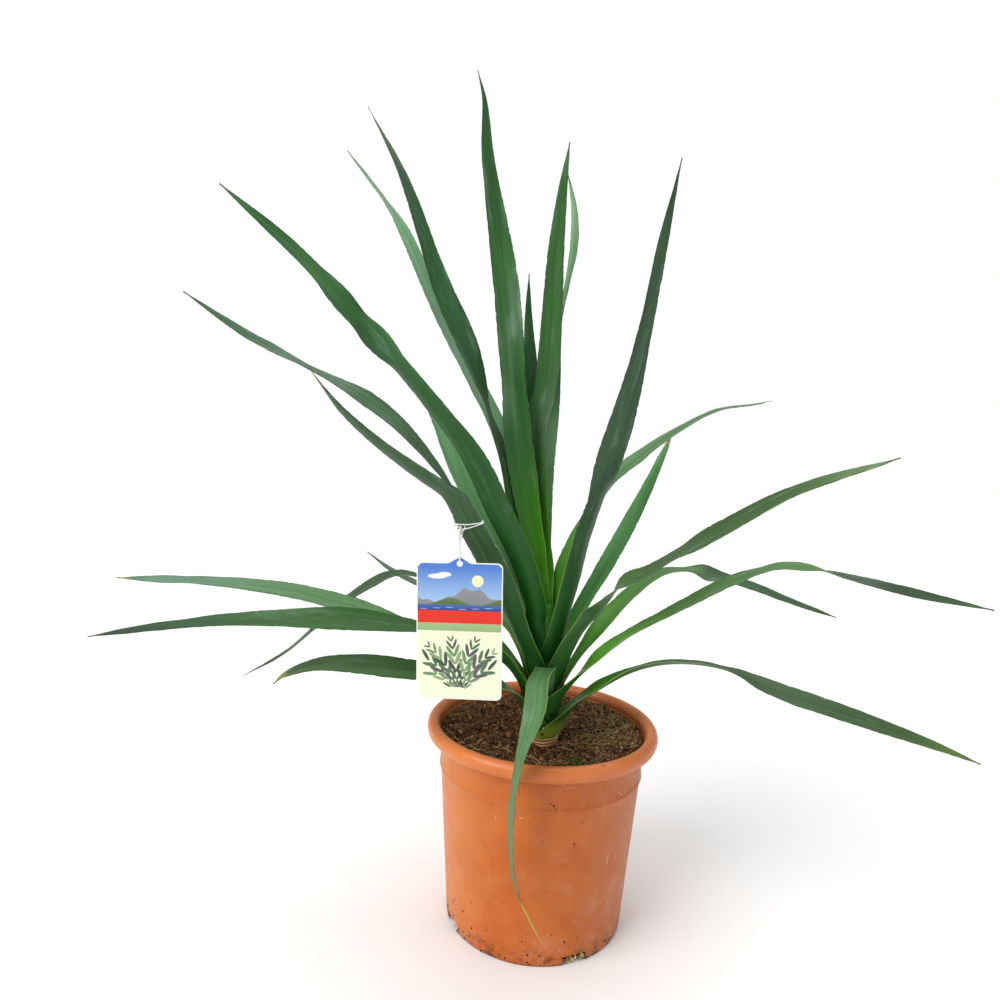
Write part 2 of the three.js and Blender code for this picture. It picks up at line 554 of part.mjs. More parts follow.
function bladeGeometry(blade) {
  const rows = blade.stations();
  const points = [];
  for (const u of rows) {
    const faces = [[], []];
    for (let j = 0; j < COLUMNS; j += 1) {
      const q = (2 * j) / (COLUMNS - 1) - 1;
      const middle = blade.point(u, q);
      const normal = blade.normal(u, q);
      const thick = u === 1 ? 0 : 1 - q * q;
      const half = THREE.MathUtils.lerp(MARGIN_HALF_THICKNESS, BLADE_HALF_THICKNESS, thick);
      faces[0].push(middle.clone().addScaledVector(normal, half).toArray());
      faces[1].push(middle.clone().addScaledVector(normal, -half).toArray());
    }
    points.push(...faces[0], ...faces[1]);
  }
  const upper = (i, j) => i * 2 * COLUMNS + j;
  const lower = (i, j) => i * 2 * COLUMNS + COLUMNS + j;
  const end = COLUMNS - 1;
  const triangles = [];
  for (let i = 0; i + 1 < rows.length; i += 1) {
    for (let j = 0; j < end; j += 1) {
      triangles.push([upper(i, j), upper(i + 1, j), upper(i + 1, j + 1)]);
      triangles.push([upper(i, j), upper(i + 1, j + 1), upper(i, j + 1)]);
      triangles.push([lower(i, j), lower(i + 1, j + 1), lower(i + 1, j)]);
      triangles.push([lower(i, j), lower(i, j + 1), lower(i + 1, j + 1)]);
    }
    triangles.push([lower(i, 0), lower(i + 1, 0), upper(i + 1, 0)]);
    triangles.push([lower(i, 0), upper(i + 1, 0), upper(i, 0)]);
    triangles.push([upper(i, end), upper(i + 1, end), lower(i + 1, end)]);
    triangles.push([upper(i, end), lower(i + 1, end), lower(i, end)]);
  }
  const tip = rows.length - 1;
  for (let j = 0; j < end; j += 1) {
    triangles.push([upper(0, j), upper(0, j + 1), lower(0, j + 1)]);
    triangles.push([upper(0, j), lower(0, j + 1), lower(0, j)]);
    triangles.push([upper(tip, j), lower(tip, j + 1), upper(tip, j + 1)]);
    triangles.push([upper(tip, j), lower(tip, j), lower(tip, j + 1)]);
  }
  return meshGeometry(points, triangles);
}

// Tag: a thin card with rounded corners and a tab with a hole, hanging upright

function tagGeometry() {
  const x = TAG_WIDTH / 2;
  const y = TAG_HEIGHT / 2;
  const tab = TAB_WIDTH / 2;
  const outline = new THREE.Shape();
  outline.moveTo(-x + TAG_CORNER, -y);
  outline.lineTo(x - TAG_CORNER, -y);
  outline.absarc(x - TAG_CORNER, -y + TAG_CORNER, TAG_CORNER, -Math.PI / 2, 0);
  outline.lineTo(x, y - TAG_CORNER);
  outline.absarc(x - TAG_CORNER, y - TAG_CORNER, TAG_CORNER, 0, Math.PI / 2);
  outline.lineTo(tab, y);
  outline.bezierCurveTo(tab / 2, y, tab / 2, y + TAB_RISE, 0, y + TAB_RISE);
  outline.bezierCurveTo(-tab / 2, y + TAB_RISE, -tab / 2, y, -tab, y);
  outline.lineTo(-x + TAG_CORNER, y);
  outline.absarc(-x + TAG_CORNER, y - TAG_CORNER, TAG_CORNER, Math.PI / 2, Math.PI);
  outline.lineTo(-x, -y + TAG_CORNER);
  outline.absarc(-x + TAG_CORNER, -y + TAG_CORNER, TAG_CORNER, Math.PI, (3 * Math.PI) / 2);
  const hole = new THREE.Path();
  hole.absarc(0, y - HOLE_DROP, HOLE_RADIUS, 0, 2 * Math.PI, true);
  outline.holes.push(hole);
  const card = new THREE.ExtrudeGeometry(outline, {
    depth: TAG_THICKNESS,
    bevelEnabled: false,
    curveSegments: TAG_CURVE_PARTS,
  });
  card.translate(0, 0, -TAG_THICKNESS / 2);
  card.rotateX(Math.PI / 2);
  card.rotateY(radians(-TAG_TILT));
  return card.translate(...TAG_CENTRE);
}

// String: two turns round a leaf, a knot at that leaf's edge, and a long loop through the tag's hole

function onTag(x, y, z) {
  const axis = new THREE.Vector3(0, 1, 0);
  const point = new THREE.Vector3(x, y, z).applyAxisAngle(axis, radians(-TAG_TILT));
  return point.add(new THREE.Vector3(...TAG_CENTRE));
}

function cordSolid(points, steps) {
  const section = new THREE.Shape();
  section.absarc(0, 0, STRING_RADIUS, 0, 2 * Math.PI);
  const extrudePath = new THREE.CatmullRomCurve3(points, false, 'centripetal');
  return toSolid(new THREE.ExtrudeGeometry(section, { steps, extrudePath, curveSegments: 4 }));
}

function tieGeometry() {
  const blade = new Blade(LEAVES[TIED_LEAF - 1]);
  const away = BLADE_HALF_THICKNESS + STRING_CLEARANCE + STRING_RADIUS;
  const beside = (u, q) => {
    const edge = blade.point(u, q);
    return edge.clone().add(edge.clone().sub(blade.point(u, 0)).setLength(away));
  };
  const off = (u, q, side) => blade.point(u, q).addScaledVector(blade.normal(u, q), side * away);
  const [first, second] = TIED_PLACES;
  const margin = blade.point((first + second) / 2, -1);
  const outward = margin.clone().sub(blade.point((first + second) / 2, 0));
  const knot = margin.clone().add(outward.setLength(KNOT_RADIUS + STRING_CLEARANCE));
  const turns = TIED_PLACES.map((u) => cordSolid([
    knot,
    ...[-0.9, -0.5, 0, 0.5, 0.93].map((q) => off(u, q, -1)),
    beside(u, 1),
    ...[0.93, 0.5, 0, -0.5, -0.9].map((q) => off(u, q, 1)),
    knot,
  ], 30));
  const holeHeight = TAG_HEIGHT / 2 - HOLE_DROP + 0.6;
  const tabTop = TAG_HEIGHT / 2 + TAB_RISE;
  const hanging = cordSolid([
    knot,
    onTag(-0.6, -1.2, tabTop + 2),
    onTag(0, -1.6, tabTop - 1),
    onTag(0, -1.1, holeHeight + 0.4),
    onTag(0, 0, holeHeight),
    onTag(0, 1.1, holeHeight + 0.4),
    onTag(0, 2.2, tabTop - 1),
    knot,
  ], 34);
  const ball = toSolid(new THREE.SphereGeometry(KNOT_RADIUS, 8, 6)).translate(knot.toArray());
  return toGeometry(wasm.Manifold.union([...turns, hanging, ball]));
}

const plant = new THREE.Group();
plant.add(named('pot', potGeometry(), POT_MATERIAL));
plant.add(named('soil', soilGeometry(), SOIL_MATERIAL));
plant.add(named('stem', stemGeometry(), STEM_MATERIAL));
LEAVES.forEach((leaf, i) => {
  const name = `leaf_${String(i + 1).padStart(2, '0')}`;
  plant.add(named(name, bladeGeometry(new Blade(leaf)), LEAF_MATERIAL));
});
plant.add(named('tag', tagGeometry(), TAG_MATERIAL));
plant.add(named('tag_tie', tieGeometry(), STRING_MATERIAL));

export default plant;
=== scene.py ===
# Looks of a young dragon tree in its nursery pot. Lengths below are in millimetres, the scene in metres.

import math
from functools import cached_property
from itertools import combinations
import bpy
import numpy as np
from mathutils import Matrix, Vector, noise


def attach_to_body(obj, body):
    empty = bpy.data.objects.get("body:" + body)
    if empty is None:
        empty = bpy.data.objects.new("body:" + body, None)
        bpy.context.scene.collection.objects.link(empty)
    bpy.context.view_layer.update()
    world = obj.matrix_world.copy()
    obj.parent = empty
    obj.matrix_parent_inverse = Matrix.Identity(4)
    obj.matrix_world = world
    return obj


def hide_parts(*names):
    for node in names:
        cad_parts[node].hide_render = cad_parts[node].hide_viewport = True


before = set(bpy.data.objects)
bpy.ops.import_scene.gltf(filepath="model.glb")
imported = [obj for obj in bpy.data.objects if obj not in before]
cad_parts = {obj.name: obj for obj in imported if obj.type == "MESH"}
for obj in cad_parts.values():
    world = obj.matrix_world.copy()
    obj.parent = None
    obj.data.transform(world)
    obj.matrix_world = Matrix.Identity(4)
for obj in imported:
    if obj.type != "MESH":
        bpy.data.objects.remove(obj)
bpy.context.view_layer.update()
MM = 0.001
FULL_TURN = 2 * math.pi
SHARP_ANGLE = 40
FLOOR_HALF = 4000

# Camera, as the photograph was taken
CAMERA_PLACE = (0, -594, 399)
CAMERA_YAW = -4.21
CAMERA_PITCH = -5.13
CAMERA_TILT = 2.67
CAMERA_LENS = 26.39
CAMERA_SENSOR = 36

# Share of the white surroundings' light that falls on the object
AMBIENT = 0.42

# Pot
RIM_RADIUS = 95
BEAD_WIDTH = 10.4
BEAD_HEIGHT = 12.6
POT_HEIGHT = 165.2
FOOT_RADIUS = 73
FOOT_EDGE = 1.5
BAND_FOOT = 127
BAND_FOOT_RADIUS = 82.4
BAND_TOP_RADIUS = 84.4
WALL = 2.2
NECK_RADIUS = BAND_TOP_RADIUS - WALL
NECK_HEIGHT = 151.5
PAD_RADIUS = 16
FLOOR_UNDERSIDE = 2.5
FLOOR_TOP = 5
NOTCH_COUNT = 4
NOTCH_TURN = 298
NOTCH_WIDTH = 20
NOTCH_HEIGHT = 7.5
NOTCH_ROUNDING = 2
NOTCH_DEPTH = 7
POT_SIDES = 288
FOOT_SPECKS = 260
SIDE_SPECKS = 46
RIM_SPECKS = 40
HAIR_STANDOFF = 0.16

# Soil and what lies on it
SOIL_LEVEL = 151.5
SOIL_GAP = 0.4
SOIL_ROUGHNESS = 1.2
SOIL_EDGE_RADIUS = 82.7
SOIL_EDGE_RISE = 5.2
SOIL_EDGE_START = 40
SOIL_SIDES = 360
SOIL_RINGS = 96
CRUMB_COUNT = 5200
GRIT_COUNT = 700
RIGHT_GRIT_COUNT = 900
MOSS_COUNT = 420
SPOT_LIMIT = 81
SPOT_KEEP_OUT = 15.5
STRAND_LIMIT = 82
STRAND_KEEP_OUT = 14.6
STRAND_LIFT = 0.5
STRAND_STEPS = 9

# Stem
STEM_Y = -12
STEM_RADIUS = 13.8
STEM_TIP_RADIUS = 3.4
STEM_BOTTOM = 134
STEM_FOOT = 158
STEM_TOP = 264
SCAR_HEIGHTS = [151.6, 154.2, 157]

# Leaves
ROOT_STANDOFF = 0.9
BLADE_HALF_THICKNESS = 0.5
MARGIN_HALF_THICKNESS = 0.18
WRAP_END = 48
WRAP_FULL_SHARE = 0.4
TIP_HALF_WIDTH = 0.5
TIP_SHARPNESS = 0.9
FOLD_SOFTNESS = 3
CUP_AT_STEM = 0.55
CUP_REACH = 0.3
CUP_MIDWAY = 0.22
CUP_AT_TIP = 0.06
WAIST = 0.35
WAIST_REACH = 0.16
BLADE_ROWS = 170
BLADE_COLUMNS = 21
NICK_DEPTH = 1.2
MARGIN_WANDER = 0.4
CALM_END = 25
WANDER_FULL = 90
ROLL_EASING = 0.014

# Tag, its print and its string
TAG_WIDTH = 62
TAG_HEIGHT = 100
TAG_THICKNESS = 0.8
TAG_CORNER = 4
TAG_CENTRE = (-62.8, -80, 256.3)
TAG_TILT = 1.9
TAB_WIDTH = 19
TAB_RISE = 4.2
HOLE_RADIUS = 2
HOLE_DROP = 0.6
HOLE_Y = TAG_HEIGHT / 2 - HOLE_DROP
PRINT_MARGIN = 0.7
PRINT_HALF = TAG_WIDTH / 2 - PRINT_MARGIN
PRINT_FOOT = -TAG_HEIGHT / 2 + PRINT_MARGIN
PICTURE_FOOT = 15.2
RED_FOOT = 6
STRIP_FOOT = 0.3
INK_LEVEL = 0.02
INK_STEP = 0.002
CARD_BEVEL = 0.1
STRING_RADIUS = 0.45
STRING_STEPS = 72
STRING_SIDES = 10
KNOT_INSET = 2.2
KNOT_STANDOFF = 1.7
KNOT_LOOPS = 5
TIED_LEAF = 12
TIED_PLACES = (0.592, 0.606)

# One entry a leaf, oldest first. Its numbers are turn, its heading in degrees; root, the height where it
# leaves the stem; clasp, how far round the stem it reaches each way; reach, how far along it narrows to
# its own width; width, its full width; taper, how late it narrows. Some add waist, how much it narrows
# near the stem, and free, how far out it stops clasping. Its line follows, as (out, up, sideways) from
# the stem's axis, and then its roll, as (share of the length, degrees).
LEAVES = [
    ((-12, 160, 94, 30, 20.4, 3.2), [(19, 172), (28, 186), (39.2, 196.7, -1.1), (68.4, 217.1, 0.4),
     (90.8, 226.6, 0.4), (115.6, 230.6, 0.5), (140.6, 229.1, 0.5), (163.5, 222.1, 0.7), (185.6, 216.1, 0.7),
     (206.1, 212.1, 0.2), (249.4, 202.5, 0.1), (286.5, 193.8, -1.1), (312.6, 185.7)], [(0, 20), (0.15, 18.2),
     (0.25, -10.8), (0.46, -10), (0.54, 19.5), (0.62, 33.8), (1, 60.5)]),
    ((208, 164.5, 84, 26, 24.7, 3.15), [(17, 178), (24, 190), (37.2, 199, 1), (73.1, 212.3, 0.7),
     (107.1, 218.8, 1), (153, 228), (183.1, 230, -1.1), (205.8, 223.9, -0.8), (212, 219)], [(0, -17.5),
     (0.5, -23.5), (0.65, -39.5), (0.8, -42), (0.9, -37.5), (1, -73.8)]),
    ((86, 170, 65, 22, 24, 2.6), [(17.5, 182), (27, 202), (50, 230), (90, 252), (140, 256), (200, 236),
     (262, 196)], [(0, 0), (1, 10)]),
    ((270, 189, 35, 22, 20.2, 2.34, 0.29), [(15, 201, 0.3), (18.5, 213, 0.4), (25, 219.5, 0.4),
     (38, 221, 0.7), (58, 218, -3.8), (76, 210, -4.3), (86, 199.8, -6.2), (92, 186.2, -10.6),
     (95, 163.2, -15), (95.9, 141.2, -17.1), (95.9, 115.4, -16.8), (95.9, 94.4, -14.4), (95, 76.7, -9.5),
     (93.9, 60.7, -1.4), (91.9, 41.7, 8.4)], [(0, 8), (0.35, 21), (0.45, 66), (0.55, 74), (0.7, 70),
     (0.85, 67), (1, 98)]),
    ((206, 174, 88, 28, 29.7, 2.34), [(16.5, 188), (23, 203), (38.4, 220.4), (73.3, 237.4, 0.1),
     (107.4, 249.3, 0.2), (151, 258.5, 0.4), (192.5, 262.4, 0.6), (244, 264.2, 1.2), (290.3, 261.9, 2),
     (326.1, 257.7, 0.9)], [(0, 32.5), (0.38, -7.5), (0.45, -20.5), (0.55, -34.5), (0.7, -20), (0.85, -16),
     (1, -44)]),
    ((-22, 178, 94, 30, 20.9, 2.6), [(17, 192), (27, 207), (42.8, 225.4, -0.3), (66.2, 247.9, -0.2),
     (93.8, 268.4, 1.8), (113.9, 283.2, 0.7), (135.8, 298.7, 0.7), (155.5, 309.3, 0.1), (172.6, 316.5, -0.8),
     (193.7, 317.5, -1.3), (213.8, 314.8, -1.6), (254, 309), (298.1, 304.1, 0.6)], [(0, 66.8), (0.27, 12.5),
     (0.5, 25.2), (0.6, 11.2), (0.68, 15.5), (0.73, -23), (0.82, -45), (0.87, -66), (1, -95)]),
    ((8, 183, 76, 28, 22.41, 2.7), [(14.5, 197), (28, 223), (45.9, 248.4, 0.2), (66.2, 273, 0.1),
     (87.8, 291, -0.1), (101.6, 295.3, -0.2), (126.2, 294.3, 0.1), (167.8, 284.5, 0.1), (193.4, 275.8, 0.2),
     (239.8, 261)], [(0, 78.2), (0.24, 23.5), (0.4, 9.5), (0.55, -0.8), (0.6, 47), (0.65, 20.5), (0.9, 34),
     (1, 71.2)]),
    ((187, 186, 86, 28, 24.7, 2.62), [(17, 199), (24, 213), (35.6, 225.7, -0.1), (67.8, 238.9, -0.1),
     (106.5, 244.7, 0.2), (157.2, 257.3, 0.3), (208.2, 268.3), (263.9, 273.2), (339.7, 273.5, -0.1)],
     [(0, -41.2), (0.35, 19.2), (0.42, -5.2), (0.49, -25), (0.56, -25), (0.63, -26.8), (0.85, -22.8),
     (1, -92.5)]),
    ((163, 195, 62, 26, 16.25, 2.57), [(14.3, 208), (23, 230), (58.1, 254, -0.3), (86.9, 265.3, 0.1),
     (118.5, 273.5, 0.5), (144.6, 271.6, -0.2), (184.6, 248, -0.2), (224.1, 212.9, -0.1), (252.1, 188, -0.3),
     (303.1, 155, -0.4)], [(0, 10), (0.4, 3), (0.5, -44), (0.65, -35.8), (0.84, -31.5), (1, -47.8)]),
    ((-38, 192, 78, 50, 23.75, 2.6, 0.1), [(14.5, 206), (19.5, 222), (28, 241), (40.6, 260.7, 3.7),
     (55.3, 276.6, 1.6), (67.9, 292.6, 0.6), (84.5, 301.2, 1), (112.5, 322.2, 3.2), (144.4, 344.1, 1.3),
     (190.3, 372.8, -2.5), (245.8, 396.1, 0.8)], [(0, -10), (0.14, -15), (0.24, -15.5), (0.33, 17.5),
     (0.36, 31.5), (0.4, 34), (0.52, 26), (0.6, 47.5), (0.65, 47), (0.72, 48.5), (0.83, 43), (1, 60)]),
    ((140, 191, 60, 22, 17.63, 2.75), [(15, 203), (28, 225), (74.4, 250.6, -4.4), (117.3, 250.2, -1.1),
     (164.4, 252.4, 0.4), (206.3, 259, 0.3), (247.6, 271, 0.5)], [(0, 1.2), (1, -5)]),
    ((222, 199, 74, 52, 25.48, 2.4, 0), [(14, 212), (19.5, 226), (27, 239), (36, 256.4, -0.5),
     (45.8, 277.6, -1.3), (61.4, 304.1, -1.9), (77.3, 326.7, -2), (95.8, 351.5, 0.7), (117.9, 364.8, 0.8),
     (155, 387.9, -0.8), (185, 410.3, -0.1), (207, 434)], [(0, 23.8), (0.3, 35), (0.51, 30), (0.6, 20),
     (0.71, 17.5), (0.8, 15), (0.9, 14.2), (1, -12.5)]),
    ((190, 206, 60, 22, 19, 3), [(12.8, 219), (20, 246), (33, 280), (48.1, 305.2, 0.1), (67.3, 329.8),
     (91.2, 366), (122.8, 401.3, -0.2), (150.6, 421.9, -0.3), (194.1, 443, 0.1), (241.1, 466, 0.1),
     (285, 493)], [(0, 0), (0.25, 1.2), (0.4, -7.5), (0.63, -57.5), (0.7, -24.8), (0.76, -14.5),
     (0.82, -43.2), (0.9, -63.8), (1, -67.5)]),
    ((45, 208, 65, 22, 19, 3.6), [(13, 222), (33, 247), (55.9, 275.6, -0.3), (78, 303.3, -0.2),
     (100, 332.2, -0.2), (119.9, 361.5, -0.4), (138.3, 391.4, -0.7), (150, 409)], [(0, -0.5), (0.3, -2.5),
     (0.42, 5.5), (0.6, 9), (0.8, 0), (1, 12.5)]),
    ((170, 212, 65, 22, 22.55, 2.25), [(12.6, 226, 0.1), (21.3, 258), (39.5, 301.6, 0.6), (70.1, 347.6, 1.5),
     (88.5, 385.2, 0.9), (109.3, 427, 0.5), (151, 474.6, 1), (195.6, 518.2, 0.8)], [(0, 0), (0.2, 2.5),
     (0.5, -37.5), (1, -10)]),
    ((106, 216, 40, 22, 25.2, 2.76), [(10.6, 232), (16, 256), (45, 305), (100, 374), (150, 432), (205, 482)],
     [(0, 0), (1, 0)]),
    ((198, 224, 78, 32, 25.2, 2.99, 0.2, 14), [(9.8, 236, 2), (12.2, 250, 3.5), (12.4, 262, 4.4),
     (18, 281, 1), (25.5, 301, -0.5), (46.2, 339.6, -1), (66.9, 377.3, 1.1), (94, 411.2, 0.1),
     (140, 461.1, -0.1), (173, 495), (205.6, 525.1, 0.3), (252.7, 561.6, -0.7)], [(0, 40), (0.06, 66),
     (0.14, 60), (0.24, 58.5), (0.35, 50.2), (0.46, 30.5), (0.61, 24.5), (0.7, 129.2), (0.8, 35), (1, 87)]),
    ((-48, 220, 92, 36, 23.4, 2.34, 0.1), [(12.7, 236, 2.3), (18.2, 262, 2.4), (25.9, 290, 2.1),
     (35.9, 322, 1), (48.6, 356.7, 1.9), (59.4, 385, -0.7), (72.6, 426.6, 0.5), (84.3, 472, 0.3),
     (95.9, 531.3, -0.5), (105.1, 584.7, 1.9)], [(0, 19), (0.2, 57), (0.3, 9), (0.38, 8.2), (0.45, -33.8),
     (0.51, -38.8), (0.58, -22), (0.65, -5.5), (0.76, 0), (0.87, -20), (1, -1)]),
    ((38, 229, 65, 22, 26.25, 2.08, 0.45), [(11.8, 245), (17, 290, 1), (29, 322, -3.1), (44.8, 346.1, -3.5),
     (65.2, 367, -0.9), (94.9, 388, -0.6), (134.7, 410.1, -1.9), (185.1, 430, -0.1), (239, 439),
     (265.3, 444, 0.5)], [(0, -12), (0.2, -16), (0.26, -47), (0.47, 3.5), (0.52, -3.5), (0.6, -4),
     (0.71, -8), (0.84, 5.8), (1, 17.5)]),
    ((147, 233, 65, 22, 19.38, 2.6), [(11.4, 250), (20, 280), (28.1, 311, -1.7), (41.6, 348.2, -4.8),
     (62.7, 401.1, -5.1), (90, 442.3, -4.6), (128.5, 497.5, -2.5), (178.8, 582.8, 2), (227, 635.3, 2.3),
     (256.2, 664.1, 2.4)], [(0, -22.5), (0.6, -18), (0.75, -48.8), (0.85, 3.8), (1, -36.2)]),
    ((157, 238, 65, 22, 23.53, 2.7, 0.32), [(9.9, 252), (17.5, 280), (23.5, 305), (33.2, 329.2, 2.7),
     (43.7, 370, 0.9), (62, 412.7, 1.5), (86.4, 471.8, -0.9), (111.8, 519.6, 0.8), (156.1, 617.7, 1.6),
     (195.9, 679)], [(0, 1), (0.2, -29.2), (0.4, 19.8), (0.5, -33), (0.58, -59.5), (0.64, -47), (0.7, -29),
     (0.78, -30.5), (1, -4.8)]),
    ((112, 242, 65, 22, 19.25, 2.73), [(9.5, 258), (15.4, 283), (29.2, 320, -1.1), (39, 366, -2.3),
     (46.2, 410, -0.4), (53.3, 444, 3.7), (68.7, 499, 4.6), (76.8, 538.6, 3.3)], [(0, -10), (1, -20)]),
    ((104, 247, 65, 22, 22, 2.6, 0.5), [(8.6, 262), (13.4, 282, 3), (25, 320, 3.8), (33.7, 365.8, 3.1),
     (40.2, 413.6, -0.6), (49.6, 474.2, -7.7), (58.2, 514.6, -14.2), (66.6, 558.1, -22.4),
     (72.5, 588, -23.6), (79.3, 615.2, -20.4), (82.8, 629.7, -17.2)], [(0, -11.5), (0.4, -5.2), (0.5, -37.5),
     (0.64, -90.5), (0.77, -76.5), (0.85, -48), (1, -12.8)]),
    ((110, 251, 65, 22, 20.7, 3.9, 0.35, 24), [(7.7, 268, 0.5), (12.8, 290), (20.5, 320, 3.4),
     (26, 365, 6.5), (32.4, 404, 7), (35.1, 443.3, -0.6), (40.9, 497.2, -4.7), (48.3, 549.9, -7.7),
     (54.7, 604.2, -13.1), (57.4, 645.9, -18.2)], [(0, -20), (0.3, -30), (0.5, -23.8), (1, -15)]),
    ((140, 257, 65, 22, 26.98, 3, 0.5, 12), [(5.6, 268), (9.2, 285, -0.2), (13.4, 305, -0.5),
     (19.3, 323, 0.7), (34.7, 383.2, 3.3), (46.9, 443.7, 1.7), (64.3, 524, -0.1), (92.1, 632.2, 0.6),
     (101.5, 682.6, -1.1), (109.9, 707.6, 0.2)], [(0, -77), (0.25, -53.2), (0.41, -84.8), (0.64, -43.2),
     (0.77, -16.5), (0.85, -14), (1, -4.2)]),
]

# Upper and under tone of each leaf, and what sets it apart
LEAF_LOOKS = [
    ((62, 91, 54), (79, 110, 66), dict(foot=20, margin=0.5, far=(0.84, 0.98, (92, 122, 62)))),
    ((78, 110, 68), (103, 130, 92), dict(tip=0.96, tip_colour=(150, 146, 96))),
    ((70, 108, 62), (90, 122, 84), {}),
    ((84, 124, 76), (86, 124, 80), dict(tip=0.87, tip_colour=(206, 190, 84), base=20, dry=0.2)),
    ((52, 98, 40), (62, 108, 56), dict(far=(0.62, 0.95, (48, 70, 54)))),
    ((87, 130, 67), (91, 132, 83), dict(far=(0.7, 0.75, (50, 76, 50)))),
    ((79, 118, 64), (103, 143, 93), dict(margin=0.5, far=(0.56, 0.61, (60, 90, 56)))),
    ((89, 132, 83), (91, 132, 85), dict(far=(0.6, 0.9, (104, 138, 116)), tip_colour=(170, 160, 70))),
    ((63, 91, 58), (76, 104, 73), {}),
    ((66, 97, 56), (80, 110, 77), dict(margin=0.6, far=(0.8, 0.97, (104, 132, 84)))),
    ((72, 100, 70), (80, 108, 80), {}),
    ((62, 101, 62), (58, 91, 58), {}),
    ((80, 116, 82), (69, 104, 72), {}),
    ((88, 151, 83), (100, 156, 102), dict(tip=0.95, tip_colour=(150, 128, 84), base=90)),
    ((120, 181, 120), (123, 179, 123), dict(base=60)),
    ((70, 110, 64), (90, 124, 86), {}),
    # Leaves 17 and 18 give a brighter foot tone: painted light that lifts the shade in the crown's crotch.
    ((48, 100, 43), (50, 98, 49), dict(deep=(116, 206, 36))),
    ((56, 92, 56), (52, 82, 55), dict(deep=(116, 206, 36))),
    ((80, 122, 73), (82, 122, 74), {}),
    ((113, 159, 117), (106, 149, 112), {}),
    ((43, 85, 45), (49, 89, 53), {}),
    ((57, 108, 62), (69, 113, 74), {}),
    ((115, 164, 113), (106, 152, 108), {}),
    ((50, 96, 42), (59, 100, 57), {}),
    ((47, 95, 44), (47, 90, 47), {}),
]


def rgb(red, green, blue):
    """A linear colour from screen values of 0 to 255."""
    return tuple((v / 255 / 12.92) if v < 10.3 else ((v / 255 + 0.055) / 1.055) ** 2.4
                 for v in (red, green, blue)) + (1.0,)


def shade(tone, share=1):
    """A linear colour from a tone of screen values, made lighter or darker."""
    return rgb(*(min(255, share * v) for v in tone))


def smoothstep(value, low, high):
    """Eases from 0 to 1 while the value goes from low to high."""
    share = np.clip((value - low) / (high - low), 0, 1)
    return share * share * (3 - 2 * share)


def unit(vectors):
    return vectors / np.maximum(np.linalg.norm(vectors, axis=-1, keepdims=True), 1e-9)


def heading(angle):
    """The level direction at an angle from x."""
    return np.array([math.cos(angle), math.sin(angle), 0])


def grain(x, y, z=0.0):
    """Smooth noise between -1 and 1."""
    return noise.noise(Vector((x, y, z)))


# Node trees

class Value:
    """What a node gives, ready for sums with numbers and other values."""

    def __init__(self, look, socket):
        self.look, self.socket = look, socket

    def math(self, operation, other=0.0, **settings):
        return self.look.node("ShaderNodeMath", {0: self, 1: other}, operation=operation, **settings)

    def __add__(self, other):
        return self.math("ADD", other)

    def __sub__(self, other):
        return self.math("SUBTRACT", other)

    def __mul__(self, other):
        return self.math("MULTIPLY", other)

    def __abs__(self):
        return self.math("ABSOLUTE")

    def ramp(self, low, high, to_low=0.0, to_high=1.0):
        """A value that eases from to_low to to_high while this one goes from low to high."""
        inputs = {0: self, 1: low, 2: high, 3: to_low, 4: to_high}
        return self.look.node("ShaderNodeMapRange", inputs, interpolation_type="SMOOTHSTEP")


class Look:
    """A material on one shader, coloured layer by layer."""

    def __init__(self, name):
        self.material = bpy.data.materials.new(name)
        self.material.use_nodes = True
        self.tree = self.material.node_tree
        self.shader = self.tree.nodes["Principled BSDF"]

    def put(self, socket, value):
        if isinstance(value, Value):
            self.tree.links.new(value.socket, socket)
        else:
            socket.default_value = value

    def node(self, kind, inputs, output=0, **settings):
        node = self.tree.nodes.new(kind)
        for key, value in settings.items():
            setattr(node, key, value)
        for key, value in inputs.items():
            self.put(node.inputs[key], value)
        return Value(self, node.outputs[output])

    @cached_property
    def place(self):
        """The point on the surface, in millimetres."""
        point = self.node("ShaderNodeTexCoord", {}, "Object")
        return self.node("ShaderNodeVectorMath", {0: point, "Scale": 1 / MM}, operation="SCALE")

    def axes(self):
        return [self.node("ShaderNodeSeparateXYZ", {0: self.place}, axis) for axis in "XYZ"]

    def join(self, x, y, z):
        return self.node("ShaderNodeCombineXYZ", {0: x, 1: y, 2: z})

    def noise(self, scale, detail=3, roughness=0.55, at=None):
        inputs = {"Vector": at or self.place, "Scale": scale, "Detail": detail, "Roughness": roughness}
        return self.node("ShaderNodeTexNoise", inputs)

    def cells(self, scale):
        return self.node("ShaderNodeTexVoronoi", {"Vector": self.place, "Scale": scale}, "Distance")

    def attribute(self, name, output="Fac"):
        return self.node("ShaderNodeAttribute", {}, output, attribute_name=name)

    def mix(self, share, a, b):
        return self.node("ShaderNodeMix", {0: share, 6: a, 7: b}, 2, data_type="RGBA", blend_type="MIX")

    def ground(self, share, first, second):
        """Starts the colour as a run between two tones."""
        self.colour = self.mix(share, shade(first), shade(second))

    def paint(self, share, tone, strength=1):
        """Lays a tone over the colour so far."""
        self.colour = self.mix(share, self.colour, shade(tone, strength))

    def coat(self, roughness, specular):
        """Gives the shader its colour and gloss."""
        values = {"Base Color": self.colour, "Roughness": roughness, "Specular IOR Level": specular}
        for name, value in values.items():
            self.put(self.shader.inputs[name], value)

    def bump(self, height, strength, depth):
        inputs = {"Height": height, "Strength": strength, "Distance": depth * MM}
        self.put(self.shader.inputs["Normal"], self.node("ShaderNodeBump", inputs))


